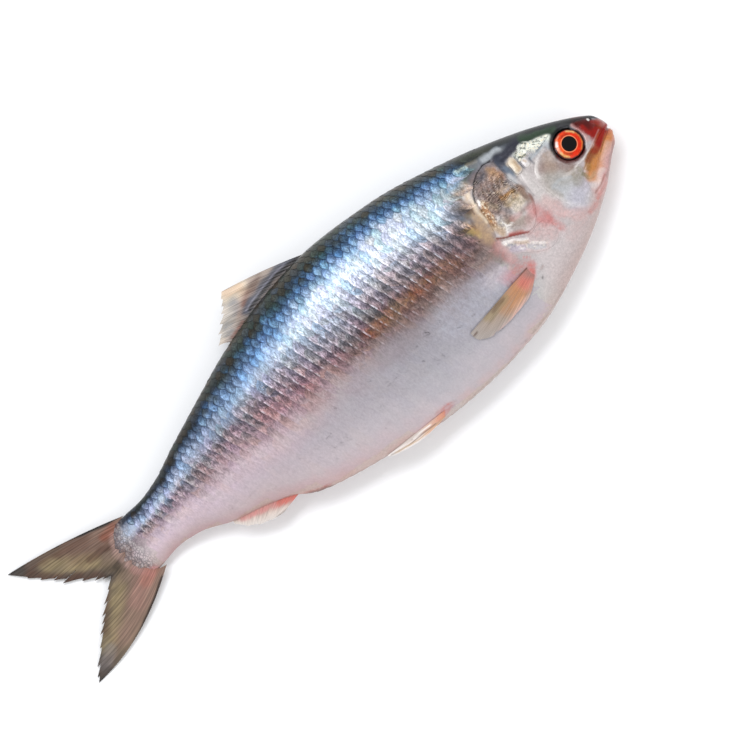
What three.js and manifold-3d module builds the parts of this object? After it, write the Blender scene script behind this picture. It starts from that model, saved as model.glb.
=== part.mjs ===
// A whole raw river shad, about 400 mm long, lying on its left side on a flat surface.
// Frame: +X runs to the snout, +Y to the back, +Z up out of the right flank; the origin is on the
// surface, under the middle of the fish. All lengths are in millimetres.
import * as THREE from 'three';
import { mergeVertices } from 'three/addons/utils/BufferGeometryUtils.js';
import Module from 'manifold-3d';

const wasm = await Module();
wasm.setup();

// ---------------------------------------------------------------- driving dimensions
const SNOUT_X = 200;           // tip of the lower jaw; the tail tip lies as far the other way
const BODY_END_X = -146.5;     // end of the scaled tail root, inside the tail fin
const WIDEST_SHARE = 0.6;      // height of the widest line above the keel, as a share of the depth
const BACK_FULLNESS = 2.25;    // superellipse exponent of the rounded back
const BELLY_FULLNESS = 1.75;   // and of the belly, which narrows to a keel
const SNOUT_ROUND = 4;         // how far the outline rounds off at the snout
const ROOT_ROUND = 11;         // and at the tail root
const GAP = 0.3;               // clearance between neighbouring solids
const FIN_THICK = 1.6;         // thickness of a fin at its base
const FIN_EDGE = 0.8;          // and at its margin

// ---------------------------------------------------------------- outlines
// A smooth curve through [position, value] pairs that never overshoots them.
function curve(points) {
  const n = points.length;
  const step = points.slice(1).map((p, i) => (p[1] - points[i][1]) / (p[0] - points[i][0]));
  const slope = points.map((p, i) => {
    if (i === 0) return step[0];
    if (i === n - 1) return step[n - 2];
    if (step[i - 1] * step[i] <= 0) return 0;
    const before = p[0] - points[i - 1][0];
    const after = points[i + 1][0] - p[0];
    const w1 = 2 * after + before;
    const w2 = after + 2 * before;
    return (w1 + w2) / (w1 / step[i - 1] + w2 / step[i]);
  });
  return (x) => {
    const i = Math.min(Math.max(points.findIndex((p) => p[0] > x) - 1, 0), n - 2);
    const k = x >= points[n - 1][0] ? n - 2 : i;
    const width = points[k + 1][0] - points[k][0];
    const t = Math.min(Math.max((x - points[k][0]) / width, 0), 1);
    const t2 = t * t;
    const t3 = t2 * t;
    return (2 * t3 - 3 * t2 + 1) * points[k][1] + (t3 - 2 * t2 + t) * width * slope[k]
      + (3 * t2 - 2 * t3) * points[k + 1][1] + (t3 - t2) * width * slope[k + 1];
  };
}

// The back and the belly as heights (Y) along the fish, from the tail root to the snout.
const backLine = curve([
  [-150, 10.5], [-122, 10.4], [-108, 13], [-87, 21], [-60, 30.8], [-34, 39.8], [3, 48.5],
  [37, 51.7], [77, 48.4], [120, 38.5], [160, 25], [186, 12.5], [194, 7.4], [200, 2.4],
]);
const bellyLine = curve([
  [-150, -23.5], [-133, -22.6], [-120, -20.9], [-108, -22.3], [-87, -31], [-70, -35.6], [-55, -41.5],
  [-45, -48], [-29, -53.2], [10, -61], [34, -64.8], [56, -65.6], [98, -62], [141, -48.3],
  [176, -29.8], [193, -16.4], [200, -11.8],
]);
// Half the thickness of the fish, and the height of its middle plane over the surface.
const halfWidth = curve([
  [-150, 1.6], [-140, 4], [-120, 7], [-87, 11.5], [-34, 18.5], [20, 22.8], [72, 23.6],
  [125, 21.2], [150, 18.2], [176, 13], [192, 7.8], [200, 4.6],
]);
const middleHeight = curve([
  [-200, 0.4], [-150, 5.2], [-120, 9.6], [-87, 14.4], [-34, 20], [20, 21.4], [125, 21.6], [200, 17.5],
]);

// The share of the outline that is left where an end rounds off.
function endRound(x) {
  const left = [[x - BODY_END_X, ROOT_ROUND], [SNOUT_X - x, SNOUT_ROUND]];
  return left.reduce((share, [distance, radius]) => {
    const into = Math.max(0, 1 - Math.max(distance, 0) / radius);
    return share * Math.sqrt(1 - into * into);
  }, 1);
}

// The cross-section at x: its widest line, its reach up and down from there, and its half width.
function section(x, grow = 0) {
  const round = endRound(x);
  const middle = (backLine(x) + bellyLine(x)) / 2;
  const back = middle + (backLine(x) - middle) * round;
  const belly = middle + (bellyLine(x) - middle) * round;
  const widest = belly + (back - belly) * WIDEST_SHARE;
  return {
    widest,
    up: back - widest + grow,
    down: widest - belly + grow,
    half: halfWidth(x) * round + grow,
    middle: middleHeight(x),
  };
}

// How far the skin stands off the middle plane at (x, y).
function flankHeight(x, y) {
  const s = section(x);
  const above = y > s.widest;
  const power = above ? BACK_FULLNESS : BELLY_FULLNESS;
  const share = Math.min(Math.abs(y - s.widest) / (above ? s.up : s.down), 1);
  return s.half * (1 - share ** power) ** (1 / power);
}

// ---------------------------------------------------------------- head relief
const GILL_EDGE_X = 115;       // rearmost point of the gill cover
const GILL_CORNER_Y = -11.5;   // height of that point
const GILL_STEP = 1.2;         // how far the cover stands over the body behind it
const GILL_FRONT_X = 150;      // where the step has faded into the cheek

// The rear edge of the gill cover at height y.
function gillEdge(y) {
  const off = y - GILL_CORNER_Y;
  return GILL_EDGE_X + (off > 0 ? 18 * (off / 35) ** 4 : 0.034 * off * off);
}

function gillStep(x, y) {
  const behind = x - gillEdge(y);
  if (behind < 0) return 0;
  const rise = Math.min(behind / 2.5, 1);
  const fade = Math.min(Math.max((GILL_FRONT_X - x) / (GILL_FRONT_X - GILL_EDGE_X), 0), 1);
  return GILL_STEP * rise * fade;
}

// ---------------------------------------------------------------- mesh helpers
// A closed tube of rings with a pole at each end.
function ringsToGeometry(rings, firstPole, lastPole) {
  const size = rings[0].length;
  const points = [firstPole, ...rings.flat(), lastPole];
  const last = points.length - 1;
  const index = [];
  for (let k = 0; k < size; k++) {
    const next = (k + 1) % size;
    index.push(0, 1 + next, 1 + k);
    for (let r = 0; r + 1 < rings.length; r++) {
      const a = 1 + r * size;
      const b = a + size;
      index.push(a + k, a + next, b + next, a + k, b + next, b + k);
    }
    const end = last - size;
    index.push(end + k, end + next, last);
  }
  const geometry = new THREE.BufferGeometry();
  geometry.setAttribute('position', new THREE.Float32BufferAttribute(points.flat(), 3));
  geometry.setIndex(index);
  return geometry;
}

// A sheet of two faces, columns by rows, closed round its rim.
function sheetGeometry(columns, rows, pointAt) {
  const points = [];
  for (const side of [1, -1]) {
    for (let i = 0; i <= columns; i++) {
      for (let j = 0; j <= rows; j++) points.push(pointAt(i / columns, j / rows, side));
    }
  }
  const at = (side, i, j) => side * (columns + 1) * (rows + 1) + i * (rows + 1) + j;
  const index = [];
  const quad = (a, b, c, d) => index.push(a, b, c, a, c, d);
  for (let i = 0; i < columns; i++) {
    for (let j = 0; j < rows; j++) {
      quad(at(0, i, j), at(0, i, j + 1), at(0, i + 1, j + 1), at(0, i + 1, j));
      quad(at(1, i, j), at(1, i + 1, j), at(1, i + 1, j + 1), at(1, i, j + 1));
    }
    quad(at(0, i + 1, 0), at(1, i + 1, 0), at(1, i, 0), at(0, i, 0));
    quad(at(0, i, rows), at(1, i, rows), at(1, i + 1, rows), at(0, i + 1, rows));
  }
  for (let j = 0; j < rows; j++) {
    quad(at(0, 0, j), at(1, 0, j), at(1, 0, j + 1), at(0, 0, j + 1));
    quad(at(0, columns, j + 1), at(1, columns, j + 1), at(1, columns, j), at(0, columns, j));
  }
  const geometry = new THREE.BufferGeometry();
  geometry.setAttribute('position', new THREE.Float32BufferAttribute(points.flat(), 3));
  geometry.setIndex(index);
  return geometry;
}

function toSolid(geometry) {
  const bare = geometry.clone();
  bare.deleteAttribute('normal');
  bare.deleteAttribute('uv');
  const merged = mergeVertices(bare, 1e-3);
  const make = (triVerts) => new wasm.Manifold(new wasm.Mesh({
    numProp: 3,
    vertProperties: new Float32Array(merged.attributes.position.array),
    triVerts,
  }));
  const triangles = new Uint32Array(merged.index.array);
  const solid = make(triangles);
  return solid.volume() > 0 ? solid : make(triangles.reverse());
}

function toGeometry(solid) {
  const mesh = solid.getMesh();
  const geometry = new THREE.BufferGeometry();
  geometry.setAttribute('position', new THREE.BufferAttribute(new Float32Array(mesh.vertProperties), 3));
  geometry.setIndex(new THREE.BufferAttribute(new Uint32Array(mesh.triVerts), 1));
  geometry.computeVertexNormals();
  return geometry;
}

// ---------------------------------------------------------------- body
const AROUND = 40;             // points round each cross-section
const TRUNK_RINGS = 28;        // cross-sections from the tail root to the gills
const HEAD_RINGS = 22;         // and from there to the snout
const HEAD_START_X = 112;

// Stations from one end to the other, closer together towards the rounded end.
function stations(from, to, count, endAtTo) {
  return Array.from({ length: count }, (_, i) => {
    const t = (i + 0.5) / count;
    const eased = endAtTo ? Math.sin((t * Math.PI) / 2) : 1 - Math.cos((t * Math.PI) / 2);
    return from + (to - from) * (0.5 * t + 0.5 * eased);
  });
}

function bodySolid(grow = 0) {
  const xs = [
    ...stations(BODY_END_X, HEAD_START_X, TRUNK_RINGS, false),
    ...stations(HEAD_START_X, SNOUT_X, HEAD_RINGS, true),
  ];
  const rings = xs.map((x) => {
    const s = section(x, grow);
    return Array.from({ length: AROUND }, (_, k) => {
      const angle = (k / AROUND) * 2 * Math.PI;
      const c = Math.cos(angle);
      const side = Math.sin(angle);
      const power = 2 / (c > 0 ? BACK_FULLNESS : BELLY_FULLNESS);
      const y = s.widest + Math.sign(c) * Math.abs(c) ** power * (c > 0 ? s.up : s.down);
      const off = Math.abs(side) ** power * s.half + Math.abs(side) * gillStep(x, y);
      const z = s.middle + Math.sign(side) * off;
      return [x, y, grow > 0 ? z : Math.max(z, 0)];
    });
  });
  const pole = (x) => [x, (backLine(x) + bellyLine(x)) / 2, middleHeight(x)];
  return toSolid(ringsToGeometry(rings, pole(BODY_END_X - grow), pole(SNOUT_X + grow)));
}

// ---------------------------------------------------------------- eyes
const EYE = { x: 176.4, y: 1.6, radius: 8.4, depth: 5.2, proud: 1.7 };

// An eyeball flattened like a lens, square to the cheek; side is 1 on the right and -1 on the left.
function eyeSolid(side, grow = 0) {
  const reach = 6;
  const slopeX = (flankHeight(EYE.x + reach, EYE.y) - flankHeight(EYE.x - reach, EYE.y)) / (2 * reach);
  const slopeY = (flankHeight(EYE.x, EYE.y + reach) - flankHeight(EYE.x, EYE.y - reach)) / (2 * reach);
  const outward = new THREE.Vector3(-slopeX, -slopeY, side).normalize();
  const surface = new THREE.Vector3(EYE.x, EYE.y,
    middleHeight(EYE.x) + side * flankHeight(EYE.x, EYE.y));
  const centre = surface.addScaledVector(outward, EYE.proud - EYE.depth);
  const ball = new THREE.SphereGeometry(1, 20, 12)
    .scale(EYE.radius + grow, EYE.radius + grow, EYE.depth + grow);
  ball.applyQuaternion(new THREE.Quaternion().setFromUnitVectors(new THREE.Vector3(0, 0, 1), outward));
  ball.translate(centre.x, centre.y, centre.z);
  return toSolid(ball);
}

// ---------------------------------------------------------------- mouth
const MOUTH = { tip: [202, -5.4], corner: [176, -17], height: 0.9 };

// The slit between the jaws, a thin wedge right through the snout.
function mouthSolid() {
  const [x0, y0] = MOUTH.corner;
  const [x1, y1] = MOUTH.tip;
  const outline = new THREE.Shape();
  outline.moveTo(x0, y0);
  outline.lineTo(x1, y1 - MOUTH.height / 2);
  outline.lineTo(x1, y1 + MOUTH.height / 2);
  outline.closePath();
  const wedge = new THREE.ExtrudeGeometry(outline, { depth: 60, bevelEnabled: false });
  return toSolid(mergeVertices(wedge));
}

// ---------------------------------------------------------------- fins
const bezier = (a, b, c, t) => a.map((v, k) => (1 - t) ** 2 * v + 2 * t * (1 - t) * b[k] + t * t * c[k]);
const finThickness = (t) => FIN_THICK + (FIN_EDGE - FIN_THICK) * t;

// A fin in the middle plane: its rays run from rootAt(s) to marginAt(s), bowed sideways by bowAt(s).
function medianFin(columns, rows, rootAt, marginAt, bowAt = () => [0, 0]) {
  return toSolid(sheetGeometry(columns, rows, (s, t, side) => {
    const root = rootAt(s);
    const margin = marginAt(s);
    const bow = bowAt(s);
    const control = root.map((v, k) => (v + margin[k]) / 2 + bow[k]);
    const [x, y] = bezier(root, control, margin, t);
    const z = middleHeight(x) + (side * finThickness(t)) / 2;
    return [x, y, Math.max(z, side > 0 ? FIN_EDGE : 0)];
  }));
}

const TAIL = {
  rootCentre: [-134, -6.6], rootReach: 15.5, rootHalf: 17.3, bury: 3,
  upperTip: [-198.4, 28.2], upperControl: [-172.4, 0.3], fork: [-157, -9],
  lowerControl: [-179, -22], lowerTip: [-200, -47.5], upperBow: [-0.8, 3.6], lowerBow: [-0.8, -11.2],
};

function tailFin() {
  const rootAt = (s) => [
    TAIL.rootCentre[0] - (TAIL.rootReach - TAIL.bury) * Math.sin(s * Math.PI) + TAIL.bury,
    TAIL.rootCentre[1] + TAIL.rootHalf * Math.cos(s * Math.PI),
  ];
  const marginAt = (s) => (s < 0.5
    ? bezier(TAIL.upperTip, TAIL.upperControl, TAIL.fork, 2 * s)
    : bezier(TAIL.fork, TAIL.lowerControl, TAIL.lowerTip, 2 * s - 1));
  const bowAt = (s) => {
    const share = Math.abs(1 - 2 * s) ** 1.5;
    return (s < 0.5 ? TAIL.upperBow : TAIL.lowerBow).map((v) => v * share);
  };
  return medianFin(24, 8, rootAt, marginAt, bowAt);
}

const DORSAL = {
  frontX: 37.5, rearX: -25, bury: 3, frontTip: [-12.6, 65.6], control: [-18.3, 52.3], rearTip: [-33.2, 44],
};
const ANAL = {
  frontX: -50, rearX: -85.5, bury: -3, frontTip: [-70.4, -43.1], control: [-81.5, -39.8], rearTip: [-89, -32],
};

// A fin on the back or the belly, whose base is buried by bury below that line.
function ridgeFin(fin, line, columns) {
  const rootAt = (s) => {
    const x = fin.frontX + (fin.rearX - fin.frontX) * s;
    return [x, line(x) - fin.bury];
  };
  return medianFin(columns, 5, rootAt, (s) => bezier(fin.frontTip, fin.control, fin.rearTip, s));
}

const PECTORAL = {
  rootFront: [118.7, -32.1], rootRear: [117.5, -39], longTip: [70.9, -38.6],
  control: [72, -53.5], shortTip: [106.5, -45], lift: 1.6,
};
const PELVIC = {
  rootFront: [36.4, -59.6], rootRear: [31.5, -62.6], longTip: [3.5, -58],
  control: [5, -60.4], shortTip: [16, -61.2], lift: 0.8,
};
const PAIRED_THICK = 1.1;      // thickness of a paired fin

// A fin laid back along one flank, standing off it by the gap and, at its tip, by its lift.
function flankFin(fin, side, columns, rows) {
  return toSolid(sheetGeometry(columns, rows, (s, t, face) => {
    const root = fin.rootFront.map((v, k) => v + (fin.rootRear[k] - v) * s);
    const tip = bezier(fin.longTip, fin.control, fin.shortTip, s);
    const [x, y] = root.map((v, k) => v + (tip[k] - v) * t);
    const off = flankHeight(x, y) + 2 * GAP + fin.lift * t + (face > 0 ? PAIRED_THICK : 0);
    return [x, y, middleHeight(x) + side * off];
  }));
}

// ---------------------------------------------------------------- the fish
const skin = { color: 0xa9adb4, roughness: 0.3, metalness: 0.35 };
const finSkin = { color: 0x8a7a66, roughness: 0.5, metalness: 0.05 };
const paleFin = { color: 0xc9a98c, roughness: 0.45, metalness: 0.05 };
const eyeSkin = { color: 0xd9481c, roughness: 0.12, metalness: 0 };

const fish = new THREE.Group();
function addPiece(name, solid, finish) {
  const mesh = new THREE.Mesh(toGeometry(solid), new THREE.MeshStandardMaterial(finish));
  mesh.name = name;
  fish.add(mesh);
}

const sockets = [1, -1].map((side) => eyeSolid(side, GAP));
const body = [...sockets, mouthSolid()].reduce((left, cut) => left.subtract(cut), bodySolid());
const grownBody = bodySolid(GAP);

addPiece('body', body, skin);
addPiece('tail_fin', tailFin().subtract(grownBody), finSkin);
addPiece('dorsal_fin', ridgeFin(DORSAL, backLine, 16).subtract(grownBody), finSkin);
addPiece('anal_fin', ridgeFin(ANAL, bellyLine, 12).subtract(grownBody), paleFin);
for (const [side, name] of [[1, 'right'], [-1, 'left']]) {
  addPiece(`eye_${name}`, eyeSolid(side), eyeSkin);
  addPiece(`pectoral_fin_${name}`, flankFin(PECTORAL, side, 8, 10).subtract(grownBody), paleFin);
  addPiece(`pelvic_fin_${name}`, flankFin(PELVIC, side, 4, 8).subtract(grownBody), paleFin);
}

export default fish;
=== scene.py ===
import math
import random

import bmesh
import bpy
import numpy as np
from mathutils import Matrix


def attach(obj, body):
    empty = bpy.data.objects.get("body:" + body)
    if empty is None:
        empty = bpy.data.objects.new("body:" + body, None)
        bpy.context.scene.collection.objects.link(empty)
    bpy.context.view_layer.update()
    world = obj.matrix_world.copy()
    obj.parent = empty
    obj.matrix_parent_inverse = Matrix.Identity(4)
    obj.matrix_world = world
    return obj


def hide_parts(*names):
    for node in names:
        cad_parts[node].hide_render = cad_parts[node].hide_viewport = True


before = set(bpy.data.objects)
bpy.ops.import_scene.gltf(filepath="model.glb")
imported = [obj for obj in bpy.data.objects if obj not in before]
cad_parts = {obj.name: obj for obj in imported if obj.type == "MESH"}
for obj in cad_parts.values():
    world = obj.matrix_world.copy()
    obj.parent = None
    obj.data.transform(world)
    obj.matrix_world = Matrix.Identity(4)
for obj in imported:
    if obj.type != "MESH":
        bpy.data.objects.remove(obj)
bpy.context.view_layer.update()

# ---------------------------------------------------------------- worktop, light and camera
# The fish lies on a matt white laminate worktop. A wide soft lamp behind its back draws the bright
# band along the upper flank, which the skin's and scales' colours also hold as a painted reflection;
# one in front of its belly fills in, and a white tent lights the rest.
MM = 0.001
WORKTOP_SIDE = 9.0
TENT_STRENGTH = 0.75
LAMPS = {                             # watts, width and depth, and the place, all in metres
    "back_lamp": (7.2, (0.8, 0.36), (0.05, 0.46, 1.0)),
    "belly_lamp": (3.6, (1.0, 0.6), (0.2, -0.9, 0.7)),
}
FRAME_SIDE_MM = 390.4                 # width of the picture at the height of the fish's middle plane
FRAME_CENTRE_MM = (18.4, -16.7)       # the point of the fish in the middle of the picture
FISH_TURN = math.radians(41.5)        # how far the fish's length is turned up from level
CAMERA_HEIGHT_MM = 3000
MIDDLE_PLANE_MM = 21


def linear(code):
    """An sRGB hex colour as linear red, green, blue and alpha."""
    parts = [int(code[k:k + 2], 16) / 255 for k in (1, 3, 5)]
    return [c / 12.92 if c <= 0.04045 else ((c + 0.055) / 1.055) ** 2.4 for c in parts] + [1.0]


def add(tree, kind, inputs=None, stops=(), out=0, **settings):
    """Adds a node with its settings and gives its output. An input is a value, or the socket that it
    is linked from."""
    made = tree.nodes.new("ShaderNode" + kind)
    for name, value in settings.items():
        setattr(made, name, value)
    for name, value in (inputs or {}).items():
        if isinstance(value, bpy.types.NodeSocket):
            tree.links.new(value, made.inputs[name])
        else:
            made.inputs[name].default_value = value
    for k, (place, code) in enumerate(stops):
        ramp = made.color_ramp.elements
        stop = ramp[k] if k < 2 else ramp.new(place)
        stop.position = place
        stop.color = linear(code) if isinstance(code, str) else (code, code, code, 1.0)
    return made.outputs[out]


def new_material(name, constants):
    """A material with its node tree and its shader, and the constants set on the shader's sockets."""
    material = bpy.data.materials.new(name)
    material.use_nodes = True
    shader = material.node_tree.nodes["Principled BSDF"]
    for key, value in constants.items():
        shader.inputs[key].default_value = value
    return material, material.node_tree, shader


scene = bpy.context.scene
scene.view_settings.view_transform = "Standard"

worktop_mesh = bmesh.new()
bmesh.ops.create_grid(worktop_mesh, x_segments=1, y_segments=1, size=WORKTOP_SIDE / 2)
worktop_data = bpy.data.meshes.new("worktop")
worktop_mesh.to_mesh(worktop_data)
worktop_mesh.free()
worktop = bpy.data.objects.new("worktop", worktop_data)
scene.collection.objects.link(worktop)
laminate = new_material("matt_white_laminate", {"Base Color": linear("#fbfbfb"), "Roughness": 0.7})[0]
worktop_data.materials.append(laminate)

tent = bpy.data.worlds.new("tent")
tent.use_nodes = True
tent.node_tree.nodes["Background"].inputs["Color"].default_value = linear("#ffffff")
tent.node_tree.nodes["Background"].inputs["Strength"].default_value = TENT_STRENGTH
scene.world = tent

for lamp_name, (power, sides, place) in LAMPS.items():
    lamp_data = bpy.data.lights.new(lamp_name, "AREA")
    lamp_data.shape = "RECTANGLE"
    lamp_data.size, lamp_data.size_y = sides
    lamp_data.energy = power
    lamp_data.color = linear("#f6f9ff")[:3]
    lamp = bpy.data.objects.new(lamp_name, lamp_data)
    lamp.location = place
    lamp.rotation_euler = (-math.atan2(place[1], place[2]), 0, 0)
    scene.collection.objects.link(lamp)

camera_data = bpy.data.cameras.new("camera")
camera_data.sensor_fit = "HORIZONTAL"
camera_data.sensor_width = 36
camera_data.lens = 36 * (CAMERA_HEIGHT_MM - MIDDLE_PLANE_MM) / FRAME_SIDE_MM
camera = bpy.data.objects.new("camera", camera_data)
camera.location = (FRAME_CENTRE_MM[0] * MM, FRAME_CENTRE_MM[1] * MM, CAMERA_HEIGHT_MM * MM)
camera.rotation_euler = (0, 0, -FISH_TURN)
scene.collection.objects.link(camera)
scene.camera = camera

# ---------------------------------------------------------------- skin of the head and trunk
# The whole fish under its scales: a deep, narrow body with a keeled belly, flattened a little where
# it rests. Raw fish skin is a thin wet clear layer over silver guanine and dark melanin.
SNOUT_X, BODY_END_X = 200, -146.5
SNOUT_ROUND, ROOT_ROUND = 4, 11
MOUTH_Y, MOUTH_DEPTH, MOUTH_HALF = -5.4, 1.5, 0.9   # the slit between the lips
HEAD_X = 112                          # where the head starts
SMALL_SCALES_X, RAGGED_X = -130, -137   # where the tail's small scales start, and its uneven end
SOCKET_DEPTH, SOCKET_RIM = 2.6, 0.5
WIDEST_SHARE = 0.6
BACK_FULLNESS, BELLY_FULLNESS = 2.25, 1.75


def curve(points):
    """A smooth line through [position, value] pairs that never overshoots them."""
    xs, ys = np.array(points, float).T
    gaps = np.diff(xs)
    steps = np.diff(ys) / gaps
    slopes = np.concatenate([steps[:1], np.zeros(len(xs) - 2), steps[-1:]])
    for k in range(1, len(xs) - 1):
        if steps[k - 1] * steps[k] > 0:
            w1, w2 = 2 * gaps[k] + gaps[k - 1], gaps[k] + 2 * gaps[k - 1]
            slopes[k] = (w1 + w2) / (w1 / steps[k - 1] + w2 / steps[k])
    fine = np.linspace(xs[0], xs[-1], 3000)
    at = np.clip(np.searchsorted(xs, fine, side="right") - 1, 0, len(xs) - 2)
    t = (fine - xs[at]) / gaps[at]
    values = ((2 * t**3 - 3 * t**2 + 1) * ys[at] + (t**3 - 2 * t**2 + t) * gaps[at] * slopes[at]
              + (3 * t**2 - 2 * t**3) * ys[at + 1] + (t**3 - t**2) * gaps[at] * slopes[at + 1])
    return lambda x: np.interp(x, fine, values)


back_line = curve([
    (-150, 10.5), (-122, 10.4), (-108, 13), (-87, 21), (-60, 30.8), (-34, 39.8), (3, 48.5),
    (37, 51.7), (77, 48.4), (120, 38.5), (160, 25), (186, 12.5), (194, 7.4), (200, 2.4)])
belly_line = curve([
    (-150, -23.5), (-133, -22.6), (-120, -20.9), (-108, -22.3), (-87, -31), (-70, -35.6), (-55, -41.5),
    (-45, -48), (-29, -53.2), (10, -61), (34, -64.8), (56, -65.6), (98, -62), (141, -48.3),
    (176, -29.8), (193, -16.4), (200, -11.8)])
half_width = curve([
    (-150, 1.4), (-140, 3.4), (-120, 6.8), (-87, 11.5), (-34, 18.5), (20, 22.8), (72, 23.6),
    (125, 21.2), (150, 18.2), (176, 13), (192, 7.8), (200, 4.6)])
middle_height = curve([
    (-200, 0.4), (-150, 5.2), (-120, 9.6), (-87, 14.4), (-34, 20), (20, 21.4), (125, 21.6), (200, 17.5)])


def end_round(x):
    """The share of the outline that is left where an end rounds off."""
    share = 1
    for distance, radius in ((x - BODY_END_X, ROOT_ROUND), (SNOUT_X - x, SNOUT_ROUND)):
        into = np.clip(1 - np.maximum(distance, 0) / radius, 0, 1)
        share = share * np.sqrt(1 - into**2)
    return share


def section(x):
    """The widest line of the cross-section at x, its reach up and down, and its half width."""
    share = end_round(x)
    middle = (back_line(x) + belly_line(x)) / 2
    back = middle + (back_line(x) - middle) * share
    belly = middle + (belly_line(x) - middle) * share
    widest = belly + (back - belly) * WIDEST_SHARE
    return widest, back - widest, widest - belly, half_width(x) * share


def around_body(x, turn):
    """The skin at an angle from the top of the cross-section at x: its height, and how far out."""
    widest, up, down, half = section(x)
    cos, sin = np.cos(turn), np.sin(turn)
    power = 2 / np.where(cos > 0, BACK_FULLNESS, BELLY_FULLNESS)
    y = widest + np.sign(cos) * np.abs(cos)**power * np.where(cos > 0, up, down)
    return y, np.abs(sin)**power * half


def flank_height(x, y):
    """How far the skin stands off the middle plane at (x, y)."""
    widest, up, down, half = section(x)
    above = y > widest
    power = np.where(above, BACK_FULLNESS, BELLY_FULLNESS)
    reach = np.maximum(np.where(above, up, down), 1e-6)
    share = np.clip(np.abs(y - widest) / reach, 0, 1)
    return half * (1 - share**power) ** (1 / power)


def on_flank(x, y, side, lift):
    """The point of the skin at (x, y) on the right (1) or left (-1) flank, raised by lift."""
    near, steepest = 0.5, 3
    slope_x = (flank_height(x + near, y) - flank_height(x - near, y)) / (2 * near)
    slope_y = (flank_height(x, y + near) - flank_height(x, y - near)) / (2 * near)
    slope_x, slope_y = np.clip([slope_x, slope_y], -steepest, steepest)
    length = np.sqrt(slope_x**2 + slope_y**2 + 1)
    out = flank_height(x, y) + lift / length
    z = middle_height(x) + side * out
    return np.stack([x - lift * slope_x / length, y - lift * slope_y / length, np.maximum(z, 0)], axis=-1)


def ball(around, rings):
    """A plain ball, which every rounded piece starts as."""
    bm = bmesh.new()
    bmesh.ops.create_uvsphere(bm, u_segments=around, v_segments=rings, radius=1)
    return bm


def finish_piece(bm, name, place, material, node=None, body="root"):
    """Moves each point of a plain start shape to its place in millimetres and makes it a piece."""
    start = np.array([v.co[:] for v in bm.verts])
    points, values = place(*start.T)
    for vertex, point in zip(bm.verts, points * MM):
        vertex.co = point
    bmesh.ops.recalc_face_normals(bm, faces=bm.faces)
    for face in bm.faces:
        face.smooth = True
    data = bpy.data.meshes.new(name)
    bm.to_mesh(data)
    bm.free()
    data.set_sharp_from_angle(angle=math.radians(60))
    for key, numbers in values.items():
        numbers = np.asarray(numbers, np.float32)
        if numbers.ndim == 2:
            data.attributes.new(key, "FLOAT_COLOR", "POINT").data.foreach_set("color", numbers.ravel())
        else:
            spread = np.broadcast_to(numbers, len(points)).astype(np.float32)
            data.attributes.new(key, "FLOAT", "POINT").data.foreach_set("value", spread)
    data.materials.append(material)
    piece = bpy.data.objects.new(name, data)
    scene.collection.objects.link(piece)
    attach(piece, body)
    if node:
        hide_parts(node)


# The flank's bands, as shares of the depth from the back: where the dark back ends, then the blue,
# the white, the mixed and the mauve band, and the pinkish white one over the belly. The white band
# is partly the scales' silver and partly a painted reflection of the lamp behind the back.
BAND_ENDS = {
    -119: (0.10, 0.28, 0.33, 0.38, 0.50, 0.72), -87: (0.11, 0.22, 0.30, 0.35, 0.52, 0.72),
    -34: (0.105, 0.225, 0.295, 0.36, 0.53, 0.65), 19: (0.09, 0.17, 0.31, 0.42, 0.53, 0.59),
    50: (0.074, 0.156, 0.248, 0.334, 0.545, 0.6), 72: (0.058, 0.134, 0.275, 0.335, 0.56, 0.61)}
BAND_PLACES = (0, 0.1, 0.2, 0.3, 0.4, 0.6, 0.7, 1)


def flank_band(x, y):
    """Where (x, y) lies in the flank's bands: each band spans the same numbers all along the fish."""
    back, belly = back_line(x), belly_line(x)
    share = np.clip((back - y) / (back - belly), 0, 1)
    ends = [np.interp(x, list(BAND_ENDS), column) for column in zip(*BAND_ENDS.values())]
    ends = [np.zeros_like(x), *ends, np.ones_like(x)]
    return sum(step * np.clip((share - start) / (end - start), 0, 1)
               for step, start, end in zip(np.diff(BAND_PLACES), ends, ends[1:]))


# What colours raw fish skin, bone and fin: melanin from black to olive, guanine from silver to
# lilac, the oils' yellows and ochres, and blood showing through from rose to red. Chalk and silver
# also serve for painted glints, highlights and reflection, and black for painted shade.
PALETTE = {
    "black": "#0c0d0f", "night": "#2b2c38", "moss": "#2f4231", "olive": "#33352a", "slate": "#434a58",
    "ash": "#83878c", "silver": "#eef2e6", "chalk": "#efe9e4", "cream": "#e2d2b9", "pearl": "#cbc4c1",
    "mist": "#b4b9bd", "lilac": "#b7b1c2", "mauve": "#8b746c", "tan": "#b89a79", "ochre": "#9a6a30",
    "amber": "#c07a36", "umber": "#4f362b", "rose": "#c4807e", "coral": "#bb4a33", "blood": "#8e140b",
    "maroon": "#4d0d0a", "rust": "#7e3a22", "flesh": "#d8a182", "petal": "#cba5a1", "straw": "#d3b876",
    "moss yellow": "#6d6a38", "sky": "#7fa6c6", "flame": "#e4551a", "ember": "#cf2807", "soot": "#1d1816",
    "horn": "#8a7a5a", "dun": "#836a5d",
}


def ripple(x, y, size, turn=0.0):
    """An uneven pattern between about -1 and 1, with soft bumps about size millimetres across."""
    total = 0
    for k in range(4):
        cos, sin = math.cos(turn + 2.4 * k), math.sin(turn + 2.4 * k)
        sway = 1.7 * np.sin((y * cos - x * sin) * 1.3 / size + 3 * k)
        total = total + np.sin((x * cos + y * sin) * (2.1 + 0.5 * k) / size + sway + 5 * k)
    return total / 2.6


STROKE_WANDER = 0.55                  # how far a wide stroke strays from its line


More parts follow.
